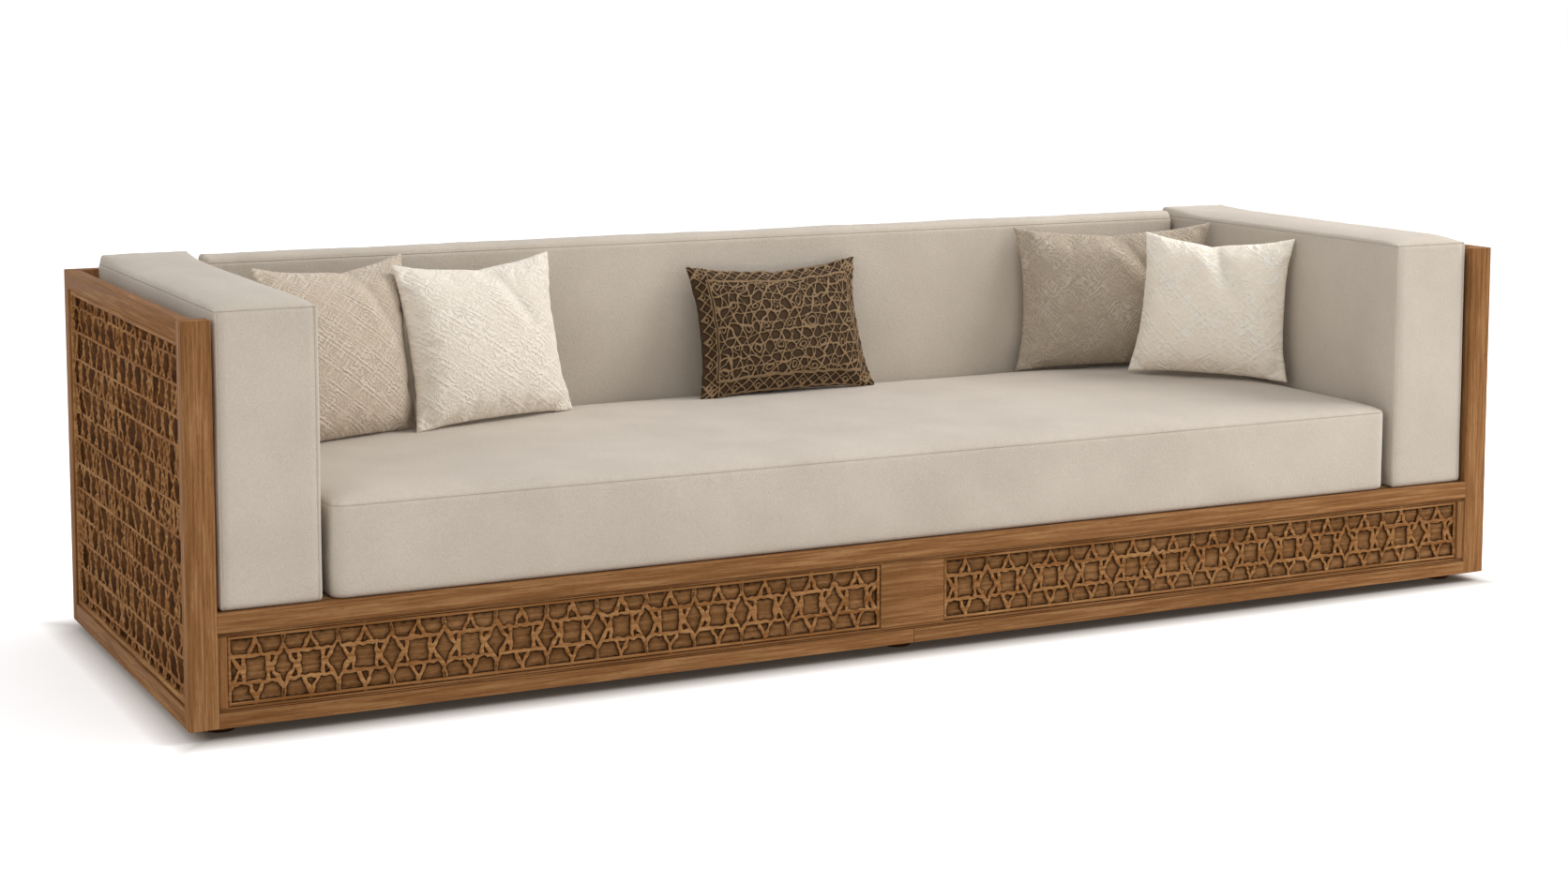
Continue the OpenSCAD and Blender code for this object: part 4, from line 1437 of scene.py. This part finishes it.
@dataclass
class CordWork:
    """A plain interlace of wavy cords, rings and zigzags, laid out on a pillow's face."""

    half_w: float
    half_h: float
    band: float = 42 * MM
    pitch: float = 56 * MM
    cord: float = 2.6 * MM
    ring: float = 6.5 * MM
    band_ring: float = 5.5 * MM
    band_ring_inset: float = 17 * MM
    band_rings: tuple[int, int] = (8, 6)
    zigzag_corners: tuple[int, int] = (17, 13)
    zigzag_gap: float = 7 * MM
    margin: float = 6 * MM
    edge_gap: float = 5 * MM
    turns: tuple[float, ...] = (3.0, 60.0, 120.0)
    pair_share: float = 0.227
    waves: tuple[float, float] = (74 * MM, 27 * MM)
    frame_waver: tuple[float, float] = (1.6 * MM, 1.0 * MM)
    waver: tuple[float, float] = (6.5 * MM, 2.2 * MM)
    shade_width: float = 2.2 * MM
    seed: int = 91

    def __post_init__(self) -> None:
        """Works out the field inside the bands."""
        self.half = np.array([self.half_w, self.half_h])
        self.inside = self.half - self.band
        self.row = self.pitch * SQRT3 / 2

    def lines(self) -> tuple[np.ndarray, np.ndarray]:
        """Centre lines: a frame with zigzags in the bands round it, and paired families inside it.

        Returns:
            Lines of the frame and of the inside, each of shape (n, 2, 2).
        """
        wide, tall = self.inside
        frame = rectangle(wide, tall)
        frames = [frame, frame * (1 + self.margin / wide),
                  frame * [1, (self.half_h - self.edge_gap) / tall]]
        for axis, corners in enumerate(self.zigzag_corners):
            low, high = self.inside[1 - axis] + self.zigzag_gap, self.half[1 - axis] - self.margin
            for sign, odd in ((-1, 0), (1, 0), (-1, 1), (1, 1)):
                zigzag = np.empty((corners, 2))
                zigzag[:, axis] = np.linspace(-self.half[axis], self.half[axis], corners)
                zigzag[:, 1 - axis] = sign * np.where(np.arange(corners) % 2 == odd, low, high)
                frames.append(stretches_of(zigzag))
        pair = np.array([-self.pair_share, self.pair_share]) * self.pitch
        rows = (np.arange(-8, 9)[:, None] * self.row + pair).reshape(-1)
        inner = [sloping_lines(rows, turn, self.inside) for turn in self.turns]
        return np.concatenate(frames), np.concatenate(inner)

    def relief(self, spots: np.ndarray) -> tuple[np.ndarray, np.ndarray]:
        """Height of the cord at each spot, 0 to 1, and the painted shade on and beside it.

        The spot wavers by a slow and a quick ripple first. With d the distance to the nearest line
        or ring, height = sqrt(1 - (d / cord)^2) where d < cord, and 0 elsewhere; shade =
        (d / cord)^6 on the cord and exp(-(d - cord) / shade_width) beside it.

        Args:
            spots: Places on the flat pillow face, in metres.

        Returns:
            Two numbers for each spot.
        """
        slow = drift(spots, self.waves[0], self.seed)
        quick = drift(spots, self.waves[1], self.seed + 2)
        frame, inner = self.lines()
        steady = spots + self.frame_waver[0] * slow + self.frame_waver[1] * quick
        nearest = distance_to(steady, frame)
        inside = (np.abs(steady) < self.inside).all(axis=1)
        spots = spots + self.waver[0] * slow + self.waver[1] * quick
        nearest = np.where(inside, np.minimum(nearest, distance_to(spots, inner)), nearest)
        level = np.round(spots[:, 1] / self.row)
        shift = (level % 2) * self.pitch / 2
        column = np.round((spots[:, 0] - shift) / self.pitch)
        middle = np.stack([column * self.pitch + shift, level * self.row], axis=1)
        ring = np.abs(np.linalg.norm(spots - middle, axis=1) - self.ring)
        nearest = np.where(inside, np.minimum(nearest, ring), nearest)
        for axis, cells in enumerate(self.band_rings):
            cell, inset = 2 * self.half[axis] / cells, self.half[1 - axis] - self.band_ring_inset
            middle = np.empty_like(steady)
            middle[:, axis] = (np.round(steady[:, axis] / cell - 0.5) + 0.5) * cell
            middle[:, 1 - axis] = np.sign(steady[:, 1 - axis]) * inset
            ring = np.abs(np.linalg.norm(steady - middle, axis=1) - self.band_ring)
            nearest = np.where(inside, nearest, np.minimum(nearest, ring))
        beside = np.exp(-np.maximum(nearest - self.cord, 0) / self.shade_width)
        shade = np.minimum((nearest / self.cord) ** 6, beside)
        return np.sqrt(np.maximum(1 - (nearest / self.cord) ** 2, 0)), shade


@dataclass
class ThrowPillow:
    """A loose pillow: two sheets sewn together and blown up, then set in its lean on the seat.

    Size and foot are in mm, angles in degrees. The foot is where the pillow's lower edge stands.
    """

    name: str
    size: tuple[float, float, float]
    foot: tuple[float, float]
    yaw: float
    lean: float
    roll: float
    slot: str
    chop: float
    cloth: Jacquard | CordedCloth
    fill: float = 0.7
    cell: float = 7 * MM
    seed: int = 1
    side_draw: float = 0.09
    top_draw: float = 0.11
    foot_draw: float = 0.05
    dip: float = 0.0
    fold_slant: float = 0.5
    fold_depth: float = 9 * MM
    spare_cloth: float = 0.03
    most_move: float = 10 * MM
    taper: float = 0.0
    slump: float = 0.0
    notch: float = 4 * MM
    cord_height: float = 2.2 * MM

    def sheet(self) -> Piece:
        """Makes the two sewn sheets, lightly filled, with their cloth UV in metres.

        With u and v from -1 to 1 across and up the pillow, each side is drawn in by draw x
        (1 - |other|^2.6) and the filling stands thick / 2 x ((1 - u^2)(1 - v^2))^0.45 proud.
        The rear sheet's UV lies one metre beside the front one's.

        Returns:
            The pillow about the origin, face along -Y.
        """
        width, height, thick = (side * MM for side in self.size)
        columns, rows = round(width / self.cell) + 1, round(height / self.cell) + 1
        across, up = np.meshgrid(np.linspace(-1, 1, columns), np.linspace(-1, 1, rows))
        top_or_foot = np.where(up > 0, self.top_draw, self.foot_draw)
        draw_side = self.side_draw * (1 - np.abs(up) ** 2.6) * np.abs(across) ** 1.5
        draw_end = top_or_foot * (1 - np.abs(across) ** 2.6) * np.abs(up) ** 1.5
        x, z = across * width / 2 * (1 - draw_side), up * height / 2 * (1 - draw_end)
        rise = (thick / 2 * ((1 - across**2) * (1 - up**2)) ** 0.45).reshape(-1)
        edge = np.stack([x, z], axis=-1).reshape(-1, 2)
        wave = 3 * MM * ripple(edge, 0.16, self.seed) * np.abs(across * up).reshape(-1)
        flat = np.stack([across * width / 2, up * height / 2], axis=-1).reshape(-1, 2)
        count = rows * columns
        rim = (np.maximum(np.abs(across), np.abs(up)) > 1 - TINY).reshape(-1)
        rear = np.where(rim, np.arange(count), 0)
        rear[~rim] = count + np.arange((~rim).sum())
        front = np.stack([edge[:, 0], wave - rise, edge[:, 1]], axis=1)
        back = np.stack([edge[:, 0], wave + rise, edge[:, 1]], axis=1)[~rim]
        quads = grid_faces(rows, columns)
        faces = np.concatenate([quads, rear[quads][:, ::-1]])
        piece = make_piece(self.name + "_cover", np.concatenate([front, back]), faces,
                           self.cloth.material())
        spots = np.concatenate([flat[quads], flat[quads][:, ::-1] + [1.0, 0.0]]).reshape(-1)
        piece.data.uv_layers.new(name="cloth").data.foreach_set("uv", spots.astype(np.float32))
        sewn = piece.vertex_groups.new(name="sewn_edge")
        sewn.add(np.flatnonzero(rim).tolist(), 1.0, "REPLACE")
        return piece

    def inflate(self, piece: Piece) -> None:
        """Adds the cloth: a little more cover than the form needs, blown up against its sewn edge.

        Args:
            piece: The lightly filled pillow.
        """
        sewn = piece.modifiers.new("inflate", "CLOTH").settings
        sewn.quality = 6
        sewn.mass = 0.25
        sewn.tension_stiffness = sewn.compression_stiffness = 14
        sewn.shear_stiffness = 5
        sewn.bending_stiffness = 0.1
        sewn.shrink_min = -self.spare_cloth
        sewn.vertex_group_mass = "sewn_edge"
        sewn.use_pressure = True
        sewn.uniform_pressure_force = 3.0
        sewn.effector_weights.gravity = 0

    def creased(self, points: np.ndarray) -> np.ndarray:
        """Dents the top and folds the faces of the upright pillow, in place.

        With u and v from -1 to 1 across and up the pillow, the top falls by chop x
        exp(-|u - dip| / 0.3) x v^3 and notch x exp(-|u - dip| / 0.05) x v^6, and a slanting fold
        with a hollow beside it runs from there down both faces: with s = u - dip - slant (1 - v),
        fold = (exp(-|s| / 0.085) - 0.7 exp(-((s + 0.17) / 0.12)^2)) x exp(-((v - 0.55) / 0.45)^2).

        Args:
            points: The pillow's points about its middle.

        Returns:
            The fold's height at each point, about -0.7 to 1.
        """
        width, height, _ = (side * MM for side in self.size)
        across, up = points[:, 0] / (width / 2), points[:, 2] / (height / 2)
        dent = np.exp(-np.abs(across - self.dip) / 0.3) * np.clip(up, 0, 1) ** 3
        nick = np.exp(-np.abs(across - self.dip) / 0.05) * np.clip(up, 0, 1) ** 6
        points[:, 2] -= self.chop * dent + self.notch * nick
        points[:, 0] = points[:, 0] * (1 - self.taper * up) - self.slump * MM * (1 + up) / 2
        points[:, 1] *= 1 - 0.25 * dent
        slant = across - self.dip - self.fold_slant * (1 - up)
        fold = np.exp(-np.abs(slant) / 0.085) - 0.7 * np.exp(-(((slant + 0.17) / 0.12) ** 2))
        fold *= np.exp(-(((up - 0.55) / 0.45) ** 2))
        points[:, 1] -= np.sign(points[:, 1]) * self.fold_depth * fold
        return fold

    def settle(self, piece: Piece) -> None:
        """Takes the blown up shape, brings it to size and sets it in its lean.

        Each point's movement m from its start is held to most x tanh(|m| / most).

        Args:
            piece: The pillow after the simulation.
        """
        live = evaluated(piece)
        points = read(live.to_mesh().vertices, "co")
        live.to_mesh_clear()
        piece.modifiers.clear()
        start = read(piece.data.vertices, "co")
        move = points - start
        far = np.linalg.norm(move, axis=1, keepdims=True)
        move = move * self.most_move * np.tanh(far / self.most_move)
        points = start + move / np.maximum(far, TINY)
        width, height, thick = (side * MM for side in self.size)
        points -= (points.min(axis=0) + points.max(axis=0)) / 2
        points *= np.array([width, thick, height]) / np.ptp(points, axis=0)
        # The fold's height is kept for the cloth's painted shade and highlight.
        write_attribute(piece.data, "crease_shade", self.creased(points))
        points = np.concatenate([points, [[0, 0, -height / 2]]])
        for turn, one, two in ((self.roll, 0, 2), (-self.lean, 1, 2), (self.yaw, 0, 1)):
            cos, sin = math.cos(math.radians(turn)), math.sin(math.radians(turn))
            first, second = points[:, one].copy(), points[:, two].copy()
            points[:, one], points[:, two] = first * cos - second * sin, first * sin + second * cos
        points, foot = points[:-1], points[-1]
        points[:, :2] += np.array(self.foot) * MM - foot[:2]
        points[:, 2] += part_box(self.name)[0][2] - points[:, 2].min()
        piece.data.vertices.foreach_set("co", points.reshape(-1))
        piece.data.update()

    def couch(self, piece: Piece) -> None:
        """Lays the cord on the cloth: point = place + normal x cord height x relief(u, v).

        Args:
            piece: The settled pillow, which gets finer first.
        """
        subdivide(piece, 2)
        mesh = bpy.data.meshes.new_from_object(evaluated(piece))
        piece.modifiers.clear()
        piece.data = mesh
        flat = np.empty((len(mesh.vertices), 2))
        owner = read(mesh.loops, "vertex_index", 1, np.int64)[:, 0]
        flat[owner] = read(mesh.uv_layers["cloth"].data, "uv", 2)
        front = flat[:, 0] <= 0.5
        points, normals = read(mesh.vertices, "co"), read(mesh.vertices, "normal")
        relief, shade = CordWork(self.size[0] * MM / 2, self.size[1] * MM / 2).relief(flat)
        points = points + normals * (relief * front * self.cord_height)[:, None]
        mesh.vertices.foreach_set("co", points.reshape(-1))
        write_attribute(mesh, "relief", relief * front)
        write_attribute(mesh, "shade", shade * front)
        mesh.update()

    def finish(self, piece: Piece) -> None:
        """Finishes the surface and puts the pillow in the place of its solid, on its own body.

        Args:
            piece: The settled pillow.
        """
        if isinstance(self.cloth, CordedCloth):
            self.couch(piece)
        else:
            subdivide(piece, 1)
        hand_over(piece, self.name, self.name)


def blow_up(pillows: tuple[ThrowPillow, ...], frames: int = 22) -> list[Piece]:
    """Runs the simulation of all pillows at once and settles them.

    Args:
        pillows: The pillows.
        frames: Number of frames.

    Returns:
        The pieces.
    """
    pieces = [pillow.sheet() for pillow in pillows]
    for pillow, piece in zip(pillows, pieces):
        pillow.inflate(piece)
    scene = bpy.context.scene
    for frame_number in range(1, frames + 1):
        scene.frame_set(frame_number)
    for pillow, piece in zip(pillows, pieces):
        pillow.settle(piece)
        pillow.finish(piece)
    scene.frame_set(1)
    return pieces


# ---------------------------------------------------------------- studio


@dataclass(frozen=True)
class Lamp:
    """One square lamp that looks at a point; its power is in watts."""

    name: str
    place: Place
    aim: Place
    size: float
    power: float

    def build(self) -> None:
        """Makes the lamp: it is turned from straight down by the aim's slope, then round."""
        data = bpy.data.lights.new(self.name, "AREA")
        data.size = self.size
        data.energy = self.power
        lamp = bpy.data.objects.new(self.name, data)
        lamp.location = self.place
        way = np.array(self.aim) - np.array(self.place)
        slope = math.atan2(math.hypot(way[0], way[1]), -way[2])
        lamp.rotation_euler = (slope, 0, math.atan2(way[1], way[0]) - math.pi / 2)
        bpy.context.scene.collection.objects.link(lamp)


@dataclass
class Studio:
    """Pale floor and backdrop, soft lamps and the camera."""

    camera_place: Place = (-2.66256, -5.21351, 1.37222)
    camera_down: float = 0.10652
    camera_turn: float = -0.4642
    lens: float = 61.72
    rise: float = -0.11
    footprint: tuple[float, float] = (1.475, 0.4925)
    floor_reach: float = 30.0
    lamps: tuple[Lamp, ...] = (
        Lamp("key", (4.8, -1.2, 4.4), aim=(0, 0, 0.4), size=3.0, power=240),
        Lamp("low_key", (5.5, -3.5, 1.8), aim=(0, 0, 0.4), size=3.0, power=66),
        Lamp("side_fill", (-4.8, -2.8, 2.2), aim=(-1.0, 0, 0.4), size=2.5, power=34),
    )

    def camera(self) -> None:
        """Makes the camera at the photograph's place."""
        data = bpy.data.cameras.new("camera")
        data.lens = self.lens
        data.sensor_width = 36
        data.shift_y = self.rise
        data.clip_end = 100
        camera = bpy.data.objects.new("camera", data)
        camera.location = self.camera_place
        camera.rotation_euler = (math.pi / 2 - self.camera_down, 0, self.camera_turn)
        bpy.context.scene.collection.objects.link(camera)
        bpy.context.scene.camera = camera

    def floor(self) -> None:
        """Makes the floor, white to the camera, with the booth's shadow and a painted contact shadow
        round its footprint.

        Near, the lightness of the painted shadow, rises from 0.12 to 1 with the distance from the
        footprint, -20 mm to 90 mm; at the footprint's edge it is warm and dark.
        """
        material, nodes = new_material("pale_floor")
        tree, shader = nodes.tree, nodes.tree.nodes["Principled BSDF"]
        nodes.finish({"Base Color": linear("#f2f1ef"), "Roughness": 0.9, "Specular IOR Level": 0.0})
        place = add(tree, "SeparateXYZ", {0: nodes.object_place()}).outputs
        beyond = [nodes.minus(nodes.math("ABSOLUTE", place[i]), half)
                  for i, half in enumerate(self.footprint)]
        # Painted contact shadow: the floor's camera colour and glow darken towards the footprint,
        # warm and dark at its edge.
        near = nodes.spread(nodes.math("MAXIMUM", *beyond), -0.02, 0.09, 0.12, 1.0)
        warm = nodes.mix(near, (1, 0.78, 0.58, 1), (1, 1, 1, 1))
        glow = add(tree, "Emission", {"Color": warm, "Strength": nodes.times(near, 0.3)})
        white = nodes.mix(near, (0.05, 0.035, 0.02, 1), (1.2, 1.2, 1.2, 1))
        bright = add(tree, "BsdfDiffuse", {"Color": white})
        lit = add(tree, "AddShader", {0: bright.outputs[0], 1: glow.outputs[0]})
        mixed = add(tree, "MixShader", {
            0: nodes.shown_white(), 1: shader.outputs[0], 2: lit.outputs[0]})
        feed(tree, tree.nodes["Material Output"], {"Surface": mixed.outputs[0]})
        points = np.array([[-1, -1, 0], [1, -1, 0], [1, 1, 0], [-1, 1, 0]]) * self.floor_reach
        make_piece("floor", points, [(0, 1, 2, 3)], material)

    def sky(self) -> None:
        """Sets an even dim light all round that looks white to the camera."""
        world = bpy.data.worlds.new("studio")
        bpy.context.scene.world = world
        world.use_nodes = True
        nodes = Shading(world.node_tree)
        strength = nodes.spread(nodes.shown_white(), 0, 1, 0.68, 1.0)
        feed(nodes.tree, nodes.tree.nodes["Background"],
             {"Color": (1, 1, 1, 1), "Strength": strength})

    def build(self) -> None:
        """Sets up the whole studio."""
        self.camera()
        self.floor()
        self.sky()
        for lamp in self.lamps:
            lamp.build()
        bpy.context.scene.view_settings.view_transform = "Standard"


# ---------------------------------------------------------------- everything in order


PILLOWS = (
    ThrowPillow("pillow_left_rear", (400, 386, 124), foot=(-1011.0, 106.8), yaw=22.5, lean=9,
                roll=0, slot="beige_fabric", chop=0.014, cloth=BEIGE, seed=1, dip=0.15,
                taper=-0.02, slump=-8),
    ThrowPillow("pillow_left_front", (432, 364, 124), foot=(-652.4, 183.7), yaw=18, lean=9.4,
                roll=0, slot="cream_fabric", chop=0.012, cloth=CREAM, seed=2, dip=0.05, slump=19),
    ThrowPillow("pillow_middle", (456, 314, 104), foot=(94, 267.4), yaw=1.5, lean=16,
                roll=0.5, slot="brown_fabric", chop=0.01, cloth=BROWN, seed=3,
                fold_depth=4 * MM, taper=0.02),
    ThrowPillow("pillow_right_rear", (502, 357, 124), foot=(989.9, 273.8), yaw=-18, lean=2,
                roll=0.7, slot="taupe_fabric", chop=0.01, cloth=TAUPE, seed=4, dip=-0.02,
                fold_depth=11 * MM),
    ThrowPillow("pillow_right_front", (386, 346, 124), foot=(1085, 19.1), yaw=-52, lean=5,
                roll=-0.5, slot="cream_fabric", chop=0.016, cloth=CREAM_PAINTED_LIGHT, seed=5, dip=-0.08,
                fold_depth=13 * MM, taper=0.035, slump=-15),
)


def upholstered() -> list[Piece]:
    """Builds both arm pads, the back pad and the seat cushion in one cloth.

    Returns:
        The pieces.
    """
    cushions = [
        BoxedCushion(f"{side}_arm_pad", CASE, seam_drop=20 * MM, corner=10 * MM, rolled=2.4 * MM,
                     fullness=3 * MM, fill=0.9, upright_seams=((-1, -1), (1, -1)),
                     crown_power=0.8, squeeze=0.88, seed=10 + number)
        for number, side in enumerate(SIDES)]
    cushions += [
        BoxedCushion("back_pad", CASE, seam_drop=18 * MM, corner=16 * MM, rolled=2.4 * MM,
                     fullness=2 * MM, fill=0.9, crown_reach=(0.008, 0.033), seed=20),
        BoxedCushion("seat_cushion", "seat_cushion", seam_drop=22 * MM, corner=32 * MM,
                     rolled=2.0 * MM, fullness=4 * MM, fill=0.85, crown_reach=(0.11, 0.11),
                     seed=30)]
    cloth, thread = GREIGE.material(), SEAM_SHADE.material()
    return [cushion.build(cloth, thread) for cushion in cushions]


def main() -> None:
    """Builds the booth's pieces in order."""
    logging.basicConfig(level=logging.INFO, format="%(name)s %(message)s")
    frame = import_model()
    Studio().build()
    pieces = Case(frame["nodes"]).build()
    carpentry = [
        CarvedPanel("front_panel_left", 21), CarvedPanel("front_panel_right", 22),
        ReededMoulding("front_mouldings_left", 25), ReededMoulding("front_mouldings_right", 26),
        PiercedScreen("left_screen", 23, -1), PiercedScreen("right_screen", 24, 1),
    ]
    pieces += [maker.build() for maker in carpentry]
    pieces += upholstered()
    pieces += blow_up(PILLOWS)
    for piece in pieces:
        log.info("%s: %d points", piece.name, len(piece.data.vertices))


if __name__ == "__main__":
    main()
